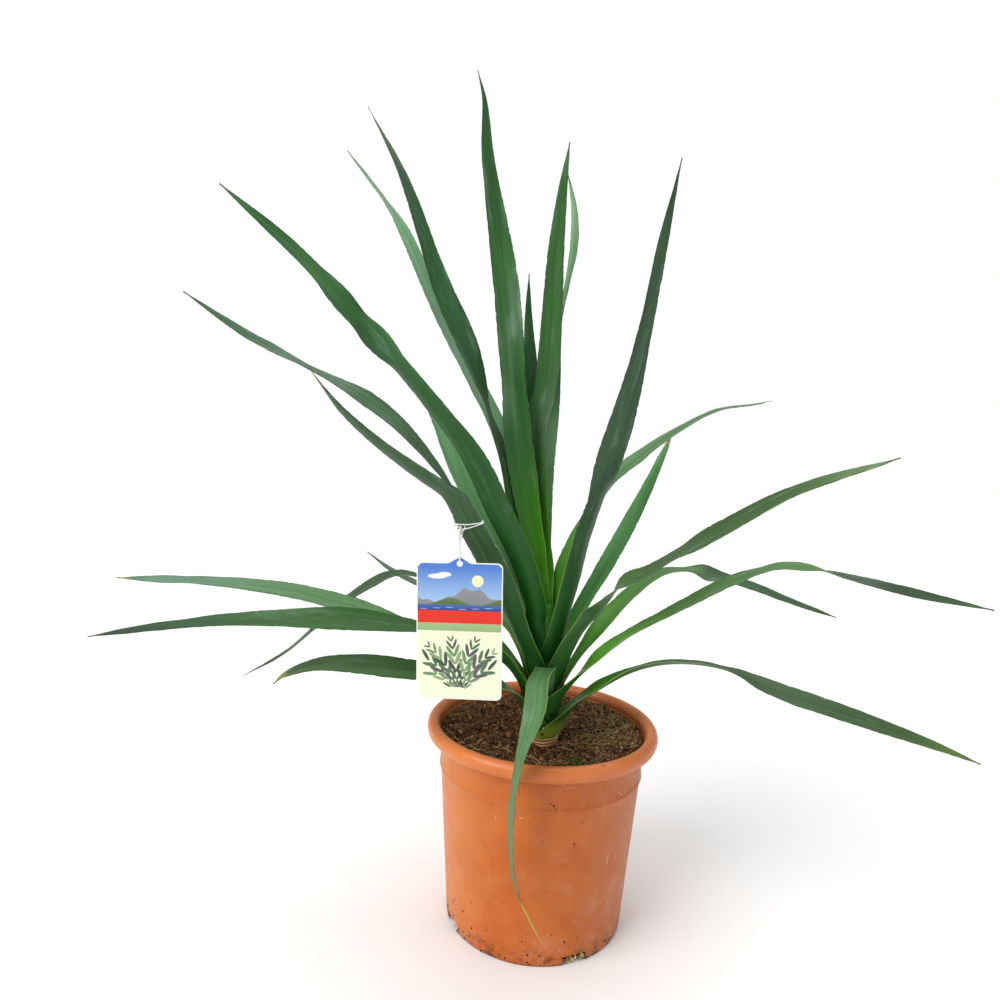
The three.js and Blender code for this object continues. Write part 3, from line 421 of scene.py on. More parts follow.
def toned_look(name, dark, light, roughness):
    """A dull material that runs between two tones by each small piece's own share."""
    look = Look(name)
    fine = look.noise(0.6, 4)
    look.ground(look.attribute("tone").math("ADD", (fine - 0.5) * 0.5, use_clamp=True), dark, light)
    look.coat(fine.ramp(0.3, 0.7, roughness - 0.08, roughness + 0.08), 0.25)
    look.bump(look.noise(1.8, 4), 0.5, 0.3)
    return look


# Meshes

def link(name, data):
    """An object for a mesh, a lamp or a camera, in the scene."""
    thing = bpy.data.objects.new(name, data)
    bpy.context.scene.collection.objects.link(thing)
    return thing


def new_mesh(name, points, faces):
    mesh = bpy.data.meshes.new(name)
    mesh.from_pydata((np.asarray(points, float) * MM).tolist(), [], faces)
    return mesh


def attach(name, mesh, look):
    """A visible piece that rides on the object's one body."""
    mesh.materials.append(look.material)
    piece = link(name, mesh)
    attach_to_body(piece, "root")
    return piece


def add_piece(name, points, faces, look, attributes=None, sharp=SHARP_ANGLE):
    """A smooth-shaded piece from points in millimetres."""
    mesh = new_mesh(name, points, faces)
    for key, values in (attributes or {}).items():
        layer = mesh.attributes.new(key, "FLOAT", "POINT")
        layer.data.foreach_set("value", np.asarray(values, np.float32).ravel())
    mesh.polygons.foreach_set("use_smooth", [True] * len(mesh.polygons))
    mesh.set_sharp_from_angle(angle=math.radians(sharp))
    return attach(name, mesh, look)


def spline(points, u):
    """Points on an open centripetal Catmull-Rom curve at the places u, from 0 to 1."""
    points = np.asarray(points, float)
    padded = np.vstack([2 * points[0] - points[1], points, 2 * points[-1] - points[-2]])
    place = np.clip(u, 0, 1) * (len(points) - 1)
    first = np.minimum(place.astype(int), len(points) - 2)
    t = (place - first)[:, None]
    p0, p1, p2, p3 = (padded[first + k] for k in range(4))
    d0, d1, d2 = (np.linalg.norm(b - a, axis=1)[:, None] ** 0.5 for a, b in ((p0, p1), (p1, p2), (p2, p3)))
    start = ((p1 - p0) / d0 - (p2 - p0) / (d0 + d1) + (p2 - p1) / d1) * d1
    end = ((p2 - p1) / d1 - (p3 - p1) / (d1 + d2) + (p3 - p2) / d2) * d1
    return p1 + start * t + (3 * (p2 - p1) - 2 * start - end) * t**2 + (2 * (p1 - p2) + start + end) * t**3


def quad(low, i, sides):
    """The face from side i of the ring of points that starts at low to the ring after it."""
    after = (i + 1) % sides
    return low + i, low + after, low + sides + after, low + sides + i


def column_faces(rings, sides, start=0):
    """Faces of a column of rings, closed at both ends."""
    end = start + (rings - 1) * sides
    faces = [quad(low, i, sides) for low in range(start, end, sides) for i in range(sides)]
    return faces + [tuple(range(start + sides - 1, start - 1, -1)), tuple(range(end, end + sides))]


def tubes(paths, radii, sides):
    """Round strands along paths of equal numbers of points."""
    paths = np.asarray(paths, float)
    count, steps, _ = paths.shape
    along = unit(np.gradient(paths, axis=1))
    aside = unit(np.cross(along, np.array([0.31, 0.17, 0.93])))
    upward = np.cross(along, aside)
    radii = np.broadcast_to(radii, (count, steps))[..., None, None]
    angles = np.arange(sides) * FULL_TURN / sides
    circle = (np.cos(angles)[None, None, :, None] * aside[:, :, None]
              + np.sin(angles)[None, None, :, None] * upward[:, :, None])
    points = (paths[:, :, None] + radii * circle).reshape(-1, 3)
    faces = []
    for start in range(0, len(points), steps * sides):
        faces += column_faces(steps, sides, start)
    return points, faces


def add_strands(name, paths, radii, sides, tones, look):
    """Strands that belong with the soil, each with its own tone."""
    points, faces = tubes(paths, radii, sides)
    add_piece(name, points, faces, look, {"tone": np.repeat(tones, len(points) // len(paths))})


def ring(radius, height, sides, centre_y=0.0):
    angles = np.arange(sides) * FULL_TURN / sides
    return [(radius * math.cos(a), centre_y + radius * math.sin(a), height) for a in angles]


def stack(rings, bottom, top):
    """A closed body from rings of points, with a fan to a middle point at either end."""
    sides = len(rings[0])
    count = len(rings) * sides
    faces = []
    for i in range(sides):
        after = (i + 1) % sides
        faces.append((count, after, i))
        faces += [quad(low, i, sides) for low in range(0, count - sides, sides)]
        faces.append((count + 1, count - sides + i, count - sides + after))
    return [point for points in rings for point in points] + [bottom, top], faces


def lathe(profile, sides, centre_y=0.0):
    """A closed body of revolution; the profile starts and ends on the axis."""
    rings = [ring(radius, height, sides, centre_y) for radius, height in profile[1:-1]]
    return stack(rings, (0, centre_y, profile[0][1]), (0, centre_y, profile[-1][1]))


def arc(centre, radii, start, end, steps):
    angles = np.radians(np.linspace(start, end, steps))
    return [(centre[0] + radii[0] * math.cos(a), centre[1] + radii[1] * math.sin(a)) for a in angles]


# Small lumps with twenty faces
GOLDEN = (1 + 5**0.5) / 2
FIRST_CORNERS = np.array([(0, a, b * GOLDEN) for a in (-1, 1) for b in (-1, 1)])
ROCK_CORNERS = np.vstack([FIRST_CORNERS, FIRST_CORNERS[:, [2, 0, 1]], FIRST_CORNERS[:, [1, 2, 0]]])
CORNER_COUNT = len(ROCK_CORNERS)
ROCK_SIDE = 2.1


def rock(rng, size, flat=1.0):
    """Corners of a small uneven lump about the origin."""
    corners = unit(ROCK_CORNERS) * rng.uniform(0.62, 1.1, (CORNER_COUNT, 1)) * rng.uniform(0.7, 1.3, 3)
    turned = corners @ np.array(Matrix.Rotation(rng.uniform(0, 6.28), 3, Vector(rng.normal(size=3))))
    return turned * size / 2 * np.array([1, 1, flat])


def pressed(lump, outward, share):
    """The lump flattened against a wall that faces outward."""
    return lump - np.outer(lump @ outward * share, outward)


def rock_faces():
    faces = []
    for a, b, c in combinations(range(CORNER_COUNT), 3):
        p, q, r = ROCK_CORNERS[[a, b, c]]
        if max(np.linalg.norm(p - q), np.linalg.norm(q - r), np.linalg.norm(r - p)) < ROCK_SIDE:
            outward = np.cross(q - p, r - p) @ (p + q + r) > 0
            faces.append((a, b, c) if outward else (a, c, b))
    return faces


def add_rocks(name, rocks, tones, look):
    lump_faces = rock_faces()
    faces = [tuple(CORNER_COUNT * i + c for c in face) for i in range(len(rocks)) for face in lump_faces]
    attributes = {"tone": np.repeat(tones, CORNER_COUNT)}
    add_piece(name, np.vstack(rocks), faces, look, attributes, sharp=60)


# Pot

def pot_look():
    look = Look("pot_plastic")
    x, y, z = look.axes()
    turn = y.math("ARCTAN2", x)
    cloud = look.noise(0.035, 4)
    streaks = look.noise(1, 5, at=look.join(turn * 14, 0, z * 0.012))
    look.ground(cloud.ramp(0.25, 0.75), (188, 92, 20), (204, 110, 36))
    look.paint(streaks * 0.4, (170, 74, 6))
    # Painted light and shade: the left side, which faces the window lamp, is painted lighter, and the right
    # side a duller brown.
    look.paint(x.ramp(-30, -72, 0, 0.5), (222, 138, 66))
    look.paint(x.ramp(20, 70, 0, 0.45), (186, 106, 52))
    # Painted highlight: the bead at the rim is painted lighter towards its top.
    look.paint(z.ramp(150, 162, 0, 0.6), (222, 128, 70))
    haze = look.noise(0.05, 6, 0.7).ramp(0.45, 0.7)
    look.paint(haze * (z.ramp(110, 10, 0.3, 0.8) * x.ramp(-40, 60, 0.35, 1) * 0.6), (206, 146, 112))
    scratches = look.noise(0.9, 8, 0.75, at=look.join(turn * 30, 0, z * 0.9)).ramp(0.655, 0.70)
    look.paint(scratches * 0.4, (226, 176, 140))
    foot = z.ramp(20, 2) * look.noise(0.13, 6, 0.75).ramp(0.5, 0.6)
    look.paint((foot * 0.85).math("MAXIMUM", z.ramp(2.2, 0.2) * 0.8), (62, 38, 24))
    spots = look.cells(0.1).ramp(0.075, 0.04) * cloud.ramp(0.52, 0.6)
    look.paint(spots * 0.75, (84, 44, 26))
    dull = look.noise(0.09, 4).ramp(0.3, 0.7, 0.34, 0.5)
    look.coat(dull - z.ramp(150, 158, 0, 0.1), 0.4)
    flutes = (turn * 168).math("SINE") * (z.ramp(129.5, 131) * z.ramp(152, 150.5))
    flutes = flutes * look.noise(0.03, 2).ramp(0.35, 0.65, 0.25, 1)
    look.bump(flutes * 0.6 + (look.noise(1.1, 5) * 0.35 + streaks), 0.45, 0.35)
    return look


def wall_radius(height):
    """The inner radius of the pot's wall."""
    share = (height - FLOOR_TOP) / (BAND_FOOT - FLOOR_TOP)
    return FOOT_RADIUS + (BAND_FOOT_RADIUS - FOOT_RADIUS) * share - WALL


def outer_radius(height):
    if height < BAND_FOOT:
        share = (height - FOOT_EDGE) / (BAND_FOOT - 2.5)
        return FOOT_RADIUS + (BAND_FOOT_RADIUS - FOOT_RADIUS) * share
    return BAND_FOOT_RADIUS + 0.5 + (height - BAND_FOOT - 3) * 0.065


def pot_profile():
    bead_centre = (RIM_RADIUS - BEAD_WIDTH / 2, POT_HEIGHT - BEAD_HEIGHT / 2)
    lip = POT_HEIGHT - BEAD_HEIGHT
    rise = (BAND_FOOT_RADIUS - FOOT_RADIUS) / (BAND_FOOT - 2.5)
    ridge = [(0.3, -0.8), (1.05, -0.1), (1.25, 0.6), (1.2, 1.6), (0.85, 2.4), (0.5, 3.2)]
    under_bead = [(-0.7, -7), (0, -1.2), (1.6, -0.5), (6.6, -0.2), (7.4, 0.3)]
    return [
        (0, 0),
        (PAD_RADIUS, 0),
        (PAD_RADIUS + 3, FLOOR_UNDERSIDE),
        (FOOT_RADIUS - 11, FLOOR_UNDERSIDE),
        (FOOT_RADIUS - 9, 0),
        (FOOT_RADIUS - 1.5, 0),
        (FOOT_RADIUS - 0.4, 0.4),
        *[(FOOT_RADIUS + rise * h, FOOT_EDGE + h) for h in np.linspace(0, BAND_FOOT - 3, 24)],
        *[(BAND_FOOT_RADIUS + out, BAND_FOOT + up) for out, up in ridge],
        *[(BAND_TOP_RADIUS + out, lip + up) for out, up in under_bead],
        *arc(bead_centre, (BEAD_WIDTH / 2, BEAD_HEIGHT / 2), -62, 200, 48),
        (NECK_RADIUS, NECK_HEIGHT),
        (wall_radius(BAND_FOOT), BAND_FOOT),
        (wall_radius(FLOOR_TOP), FLOOR_TOP),
        (0, FLOOR_TOP),
    ]


def notch_cutter(turn):
    """A block with rounded upper corners, across the pot's foot."""
    half = NOTCH_WIDTH / 2
    outline = [(-half, -NOTCH_HEIGHT), (half, -NOTCH_HEIGHT)]
    radii = (NOTCH_ROUNDING, NOTCH_ROUNDING)
    outline += arc((half - NOTCH_ROUNDING, NOTCH_HEIGHT - NOTCH_ROUNDING), radii, 0, 90, 6)
    outline += arc((-half + NOTCH_ROUNDING, NOTCH_HEIGHT - NOTCH_ROUNDING), radii, 90, 180, 6)
    depths = (-NOTCH_DEPTH, NOTCH_DEPTH)
    points = [(FOOT_RADIUS + out, across, up) for out in depths for across, up in outline]
    spin = Matrix.Rotation(math.radians(turn), 3, "Z")
    mesh = bpy.data.meshes.new("notch")
    mesh.from_pydata([spin @ Vector(p) * MM for p in points], [], column_faces(2, len(outline)))
    return link("notch", mesh)


def make_pot():
    points, faces = lathe(pot_profile(), POT_SIDES)
    pot = add_piece("pot_shell", points, faces, pot_look())
    cutters = [notch_cutter(NOTCH_TURN + 360 * i / NOTCH_COUNT) for i in range(NOTCH_COUNT)]
    for cutter in cutters:
        cut = pot.modifiers.new("notch", "BOOLEAN")
        cut.object = cutter
        cut.operation = "DIFFERENCE"
        cut.solver = "EXACT"
    view = bpy.context.evaluated_depsgraph_get()
    shaped = bpy.data.meshes.new_from_object(pot.evaluated_get(view))
    pot.modifiers.clear()
    pot.data = shaped
    shaped.set_sharp_from_angle(angle=math.radians(SHARP_ANGLE))
    for cutter in cutters:
        bpy.data.objects.remove(cutter)
    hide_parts("pot")


# Specks of dirt on the pot: turn in degrees, height, and width
SPECKS = [
    (263.9, 99.5, 1.3), (273.3, 102.7, 1.2), (290.8, 101.1, 1.8), (294, 117.5, 1.6), (231.3, 37.4, 1.6),
    (278.1, 132.5, 3), (279.2, 130.2, 1.6), (276.5, 134, 1.4), (211.4, 23, 3), (214, 27, 2),
    (223.7, 24.7, 2.2), (231.5, 15.8, 2), (243, 21.4, 1.3), (265.2, 20.4, 1.5), (277.9, 28.3, 1.5),
    (282, 27.3, 1.6), (290.2, 20.2, 2.4), (298.2, 21.4, 1.8), (308.9, 36, 1.5), (237.3, 136.9, 1.1),
    (227, 93.5, 1),
]

# Hairs on the pot: turn in degrees and height
HAIRS = [(312, 150), (309, 146), (315, 141), (306, 138), (318, 133), (321, 112), (324, 104), (319, 96),
         (314, 80), (286, 147), (262, 121), (248, 117), (326, 45), (282, 151), (205, 60)]


def make_pot_dirt():
    rng = np.random.default_rng(11)
    spots = list(SPECKS)
    for _ in range(FOOT_SPECKS):
        height = 1.2 + 11 * rng.random() ** 2.2
        spots.append((rng.uniform(0, 360), height, rng.uniform(0.6, 2.2)))
    for _ in range(SIDE_SPECKS):
        spots.append((rng.uniform(0, 360), rng.uniform(12, 148), rng.uniform(0.5, 1.1)))
    rocks = []
    for turn, height, width in spots:
        outward = heading(math.radians(turn))
        lump = pressed(rock(rng, width), outward, 0.72)
        rocks.append(lump + outward * outer_radius(height) + np.array([0, 0, height]))
    for _ in range(RIM_SPECKS):
        outward = heading(rng.uniform(0, FULL_TURN))
        rocks.append(rock(rng, rng.uniform(0.6, 1.6), 0.6) + outward * rng.uniform(86, 92.5)
                     + np.array([0, 0, POT_HEIGHT - 0.5]))
    look = toned_look("pot_dirt", (40, 22, 14), (104, 62, 38), 0.9)
    add_rocks("pot_specks", rocks, rng.random(len(rocks)), look)


def make_pot_hairs():
    """Plant hairs that cling to the pot's side, and pale roots that show in a drainage notch."""
    rng = np.random.default_rng(5)
    paths = []
    for turn, height in HAIRS:
        bend, reach, lean = rng.uniform(-1, 1), rng.uniform(2.5, 9), rng.uniform(0, FULL_TURN)
        path = []
        for t in np.linspace(-0.5, 0.5, 10):
            across = reach * (t * math.cos(lean) + bend * t * t * math.sin(lean))
            up = height + reach * (t * math.sin(lean) - bend * t * t * math.cos(lean))
            radius = outer_radius(up) + HAIR_STANDOFF
            path.append(radius * heading(math.radians(turn) + across / radius) + (0, 0, up))
        paths.append(path)
    look = toned_look("dry_hair", (214, 170, 128), (244, 224, 196), 0.7)
    add_strands("pot_hairs", paths, 0.14, 4, rng.random(len(paths)), look)

    paths = []
    for i in range(9):
        start = math.radians(NOTCH_TURN - 4.5 + 1.4 * i)
        end = start + rng.uniform(-0.07, 0.07)
        height, rise = rng.uniform(1.6, 5.6), rng.uniform(0.5, 2.4)
        path = []
        for t in np.linspace(0, 1, 12):
            radius = 62.5 + 11.4 * t - 1.8 * t**4
            up = np.clip(height + rise * math.sin(3.1 * t) - 1.6 * t, 0.9, 6.6)
            path.append(radius * heading(start + (end - start) * t + 0.02 * math.sin(5 * t + i)) + (0, 0, up))
        paths.append(path)
    look = toned_look("root_skin", (206, 184, 96), (242, 234, 176), 0.55)
    radii = rng.uniform(0.35, 0.75, (len(paths), 1))
    add_strands("notch_roots", paths, radii, 6, rng.random(len(paths)), look)


# Soil

def soil_height(x, y):
    mounds = math.sin(x * 0.09 + 1.3) * math.cos(y * 0.07 - 0.4) + 0.6 * math.sin(x * 0.21 - y * 0.17)
    edge = float(smoothstep(math.hypot(x, y), SOIL_EDGE_START, SOIL_EDGE_RADIUS))
    return SOIL_LEVEL + SOIL_ROUGHNESS * mounds + SOIL_EDGE_RISE * edge


def soil_top(x, y):
    """Height of the crumbly surface: mounds, clods and crumbs."""
    clods = 1.7 * grain(x / 12, y / 12) + 1.8 * abs(grain(x / 5.6, y / 5.6, 3))
    crumbs = 0.7 * grain(x / 2.3, y / 2.3, 7) + 0.35 * grain(x / 1.1, y / 1.1, 9)
    inside = 1 - float(smoothstep(math.hypot(x, y), 78, SOIL_EDGE_RADIUS))
    return soil_height(x, y) + (clods + crumbs) * (0.25 + 0.75 * inside)


def soil_look():
    look = Look("peat")
    fine = look.noise(0.55, 8, 0.75)
    look.ground(fine.ramp(0.36, 0.66), (22, 12, 8), (132, 90, 56))
    look.paint(look.noise(0.05, 3).ramp(0.4, 0.62) * 0.55, (96, 56, 34))
    look.paint(look.noise(0.11, 4, 0.6).ramp(0.52, 0.62) * 0.7, (16, 9, 6))
    bits = look.cells(0.42).ramp(0.17, 0.10) * (look.noise(0.13, 2).ramp(0.52, 0.6) * 0.7)
    look.paint(bits, (158, 130, 96))
    look.coat(fine.ramp(0.3, 0.7, 0.98, 0.8), 0.22)
    look.bump(fine, 0.9, 1.4)
    return look


def make_soil():
    hole = STEM_RADIUS + SOIL_GAP
    bottom = FLOOR_TOP + SOIL_GAP
    hole_bottom = STEM_BOTTOM - SOIL_GAP
    rings = [
        ring(wall_radius(FLOOR_TOP) - SOIL_GAP, bottom, SOIL_SIDES),
        ring(wall_radius(BAND_FOOT) - SOIL_GAP, BAND_FOOT, SOIL_SIDES),
        ring(NECK_RADIUS - SOIL_GAP, NECK_HEIGHT - SOIL_GAP, SOIL_SIDES),
    ]
    for share in np.linspace(0, 1, SOIL_RINGS):
        radius = SOIL_EDGE_RADIUS + (hole - SOIL_EDGE_RADIUS) * share
        rings.append([(x, y, soil_top(x, y)) for x, y, _ in ring(radius, 0, SOIL_SIDES, STEM_Y * share)])
    rings.append(ring(hole, hole_bottom, SOIL_SIDES, STEM_Y))
    points, faces = stack(rings, (0, 0, bottom), (0, STEM_Y, hole_bottom))
    soil = add_piece("soil_bed", points, faces, soil_look(), sharp=180)
    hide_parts("soil")


def soil_spot(rng):
    """A random place on the soil, clear of the stem."""
    while True:
        x, y = rng.uniform(-SPOT_LIMIT, SPOT_LIMIT, 2)
        if math.hypot(x, y) < SPOT_LIMIT and math.hypot(x, y - STEM_Y) > SPOT_KEEP_OUT:
            return x, y


def right_spot(rng):
    """A random place on the soil, mostly at its right."""
    while True:
        x, y = rng.normal(60, 15), rng.normal(18, 30)
        if math.hypot(x, y) < 79:
            return x, y


def crumb(rng, x, y, size, flat, lift):
    return rock(rng, size, flat) + np.array([x, y, soil_top(x, y) + lift])


def make_crumbs():
    rng = np.random.default_rng(21)
    rocks = []
    for _ in range(CRUMB_COUNT):
        x, y = soil_spot(rng)
        size = 0.7 + 3.4 * rng.random() ** 4
        rocks.append(crumb(rng, x, y, size, 0.8, 0.18 * size))
    look = toned_look("peat_crumb", (20, 11, 8), (158, 108, 66), 0.9)
    add_rocks("soil_crumbs", rocks, rng.random(len(rocks)) ** 1.4, look)

    rocks = []
    for _ in range(GRIT_COUNT):
        x, y = soil_spot(rng)
        rocks.append(crumb(rng, x, y, rng.uniform(0.4, 1.3), 0.9, 0.45))
    for _ in range(RIGHT_GRIT_COUNT):
        x, y = rng.normal(56, 15), rng.normal(12, 28)
        if math.hypot(x, y) < 80:
            rocks.append(crumb(rng, x, y, rng.uniform(0.4, 1.3), 0.9, 0.5))
    look = toned_look("mineral_crumb", (150, 126, 84), (250, 244, 214), 0.6)
    add_rocks("soil_grit", rocks, rng.random(len(rocks)) ** 1.8, look)


def soil_strands(rng, count, length, radius, spot):
    """Bent strands that lie on the soil, with their radii."""
    paths = []
    for _ in range(count):
        x, y = spot(rng)
        turn = rng.uniform(0, FULL_TURN)
        bend = rng.normal(0, 0.05)
        reach = length * rng.uniform(0.35, 1.3)
        arch = abs(rng.normal(0, 0.9))
        path = []
        for k in range(STRAND_STEPS):
            rise = arch * math.sin(math.pi * (k / (STRAND_STEPS - 1)))
            path.append((x, y, soil_top(x, y) + STRAND_LIFT + rise))
            x += math.cos(turn) * reach / STRAND_STEPS
            y += math.sin(turn) * reach / STRAND_STEPS
            turn += bend * reach / STRAND_STEPS + rng.normal(0, 0.1)
        ends = np.array([path[0], path[-1]])
        out = np.hypot(ends[:, 0], ends[:, 1]).max()
        if out <= STRAND_LIMIT and np.hypot(ends[:, 0], ends[:, 1] - STEM_Y).min() >= STRAND_KEEP_OUT:
            paths.append(path)
    return paths, radius * rng.uniform(0.6, 1.3, (len(paths), 1)) * np.linspace(1.15, 0.55, STRAND_STEPS)


# Long single straws that lie in plain sight
LONG_STRAWS = [
    [(16, -27), (24, -31), (31, -38), (36, -46), (40, -54)],
    [(-30, -40), (-16, -48), (-4, -56), (2, -66), (-2, -74)],
    [(-78, -18), (-66, -34), (-58, -44), (-46, -52)],
    [(-60, -52), (-50, -38), (-44, -26)],
    [(-36, -8), (-46, -22), (-50, -38), (-48, -52)],
]


def make_fibres():
    rng = np.random.default_rng(31)
    for name, count, length, radius, spot, dark, light, power in (
            ("soil_fibres", 1300, 10, 0.14, soil_spot, (40, 24, 14), (160, 112, 66), 1.3),
            ("soil_straw", 190, 13, 0.17, soil_spot, (120, 88, 48), (214, 178, 116), 1.0),
            ("soil_straw_right", 340, 7, 0.18, right_spot, (116, 94, 52), (216, 196, 132), 1.2)):
        paths, radii = soil_strands(rng, count, length, radius, spot)
        tones = rng.random(len(paths)) ** power
        add_strands(name, paths, radii, 4, tones, toned_look(name, dark, light, 0.8))
    paths = []
    for straw in LONG_STRAWS:
        flat = spline([(x, y, 0) for x, y in straw], np.linspace(0, 1, 24))
        paths.append([(x, y, soil_top(x, y) + 1.0) for x, y, _ in flat])
    look = toned_look("long_straw", (136, 108, 66), (198, 172, 118), 0.75)
    add_strands("soil_long_straws", paths, 0.26, 5, rng.uniform(0.3, 1, len(paths)), look)


def make_moss():
    """A small cushion of moss by the rim."""
    rng = np.random.default_rng(41)
    paths = []
    for _ in range(MOSS_COUNT):
        x = rng.normal(32, 7)
        y = -57 - 0.22 * (x - 30) + rng.normal(0, 2.4)
        if math.hypot(x, y) > 80:
            continue
        top = soil_top(x, y)
        lean = rng.normal(0, 0.7, 2)
        rise = rng.uniform(0.9, 2.3)
        paths.append([(x + lean[0] * t, y + lean[1] * t, top - 0.3 + rise * t) for t in (0, 0.4, 0.8, 1)])
    look = toned_look("moss", (44, 54, 22), (104, 122, 50), 0.85)
    add_strands("soil_moss", paths, [0.34, 0.4, 0.26, 0.06], 4, rng.random(len(paths)), look)


# Stem

def stem_radius(height):
    share = np.clip((height - STEM_FOOT) / (STEM_TOP - STEM_FOOT), 0, 1)
    return STEM_RADIUS + (STEM_TIP_RADIUS - STEM_RADIUS) * share


def stem_look():
    look = Look("young_bark")
    x, y, z = look.axes()
    turn = (y - STEM_Y).math("ARCTAN2", x)
    wobble = look.noise(1.6, 3, at=look.join(turn, 0, 0)) * 0.9
    layers = (z * 0.42 + wobble).math("FRACT")
    rings = look.noise(1, 5, at=look.join(turn * 0.9, 0, z * 2))
    look.ground(rings.ramp(0.35, 0.62), (74, 30, 8), (206, 138, 62))
    # The layers' edges are painted cream: partly their own pale rings, partly a painted highlight along them.
    pale_edges_and_highlight = abs(layers - 0.5).ramp(0.16, 0.04)
    look.paint(pale_edges_and_highlight * rings.ramp(0.4, 0.55, 0.45, 1), (255, 232, 176))
    gaps = abs(layers - 0.98).ramp(0.14, 0.05)
    look.paint(gaps * 0.8, (70, 24, 10))
    look.paint(z.ramp(153.5, 149) * rings.ramp(0.4, 0.6, 0.4, 0.9), (110, 38, 16))
    sheath = look.mix(z.ramp(162, 172), rgb(140, 166, 52), rgb(26, 84, 18))
    sheath = look.mix(z.ramp(200, 225), sheath, rgb(56, 136, 26))
    look.colour = look.mix(z.ramp(157.5, 159), look.colour, sheath)
    look.coat(rings.ramp(0.3, 0.7, 0.42, 0.26), 0.5)
    look.bump(rings + (pale_edges_and_highlight - gaps), 0.7, 0.5)
    return look


def make_stem():
    profile = [(0, STEM_BOTTOM), (STEM_RADIUS - 1, STEM_BOTTOM), (STEM_RADIUS - 0.9, 149)]
    for height in np.arange(149.4, 159.4, 0.2):
        scars = sum(math.exp(-((height - scar) / 0.42) ** 2) for scar in SCAR_HEIGHTS)
        profile.append((STEM_RADIUS - 0.85 + 0.75 * min(scars, 1), height))
    profile += [(stem_radius(height) - 0.1, height) for height in np.arange(160, STEM_TOP, 3)]
    profile += [(STEM_TIP_RADIUS - 0.6, STEM_TOP), (0, STEM_TOP + 2)]
    points, faces = lathe(profile, 96, STEM_Y)
    stem = add_piece("stem_bark", points, faces, stem_look(), sharp=80)
    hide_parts("stem")


def make_resin():
    """A red-brown streak of dried sap on the neck, with one white speck over it."""
    rng = np.random.default_rng(3)
    for name, turn, radius, height, width, flat, dark, light in (
            ("stem_resin", 272, 16.5, 163.2, 2.6, 1.5, (84, 22, 10), (150, 52, 22)),
            ("stem_speck", 274, 18.6, 169, 1.5, 1.0, (226, 228, 210), (252, 252, 246))):
        outward = heading(math.radians(turn))
        lump = pressed(rock(rng, width, flat), outward, 0.6)
        spot = outward * radius + np.array([0, STEM_Y, height])
        add_rocks(name, [lump + spot], [0.5], toned_look(name, dark, light, 0.3))


# Leaves

class Blade:
    """The middle surface of a leaf, which clasps the stem and then runs out as a shallow channel."""

    def __init__(self, path, roll, turn, root, clasp, reach, width, taper, waist=WAIST, free=WRAP_END):
        outward = heading(math.radians(turn))
        self.sideways = np.array([-outward[1], outward[0], 0])
        self.root_radius = stem_radius(root) + ROOT_STANDOFF
        self.stations = [np.array([0, STEM_Y, up]) + outward * out + self.sideways * sum(aside)
                         for out, up, *aside in [(self.root_radius, root)] + path]
        self.clasp, self.reach, self.width, self.taper = clasp, reach, width, taper
        self.free, self.waist, self.rolls = free, waist, np.array(roll, float)
        self.steps = np.linspace(0, 1, 16 * len(path) + 1)
        chords = np.linalg.norm(np.diff(spline(self.stations, self.steps), axis=0), axis=1)
        self.lengths = np.concatenate([[0], np.cumsum(chords)])
        self.length = self.lengths[-1]

    def along(self, u):
        return np.interp(u, self.steps, self.lengths)

    def place_at(self, share):
        """The place u at a share of the length."""
        return np.interp(share * self.length, self.lengths, self.steps)

    def roll(self, share):
        """The roll about the leaf's line in radians, eased where its slope changes."""
        near = [np.interp(np.clip(share + d, 0, 1), self.rolls[:, 0], self.rolls[:, 1])
                for d in np.linspace(-ROLL_EASING, ROLL_EASING, 5)]
        return np.radians(np.mean(near, axis=0))

    def half_width(self, along):
        share = along / self.length
        body = self.width / 2 * (1 - share**self.taper) ** TIP_SHARPNESS
        waisted = body * (1 - self.waist * np.exp(-((share / WAIST_REACH) ** 2)))
        clasp = np.exp(-((along / self.reach) ** 2))
        clasping = self.root_radius * math.radians(self.clasp)
        return np.maximum(waisted + (clasping - waisted) * clasp, TIP_HALF_WIDTH)

    def surface(self, u, q):
        """Points at every place u along and q across, from -1 to 1."""
        centre = spline(self.stations, u)
        after, before = (spline(self.stations, np.clip(u + step, 0, 1)) for step in (1e-3, -1e-3))
        along = unit(after - before)
        up = unit(np.cross(along, self.sideways))
        across = np.cross(up, along)
        distance = self.along(u)
        share = distance / self.length
        out = np.hypot(centre[:, 0], centre[:, 1] - STEM_Y)
        wrap = 1 - smoothstep(out, WRAP_FULL_SHARE * self.free, self.free)
        roll = (self.roll(share) * (1 - wrap))[:, None]
        rolled_across = across * np.cos(roll) + up * np.sin(roll)
        rolled_up = up * np.cos(roll) - across * np.sin(roll)
        offset = self.half_width(distance)[:, None] * q[None]
        cup = CUP_AT_STEM * np.exp(-((share / CUP_REACH) ** 2)) + CUP_MIDWAY * (1 - share) + CUP_AT_TIP
        cup = cup[:, None]
        reach = offset / np.hypot(1, cup)
        lift = cup * (np.hypot(reach, FOLD_SOFTNESS) - FOLD_SOFTNESS)
        flat = (centre[:, None] + rolled_across[:, None] * reach[..., None]
                + rolled_up[:, None] * lift[..., None])
        x = centre[:, :1]
        y = centre[:, 1:2] - STEM_Y
        angle = offset / out[:, None]
        clasped = np.stack([
            x * np.cos(angle) - y * np.sin(angle),
            STEM_Y + x * np.sin(angle) + y * np.cos(angle),
            np.broadcast_to(centre[:, 2:], angle.shape),
        ], axis=-1)
        return flat + (clasped - flat) * wrap[:, None, None]


def normals(grid):
    return unit(np.cross(np.gradient(grid, axis=0), np.gradient(grid, axis=1)))


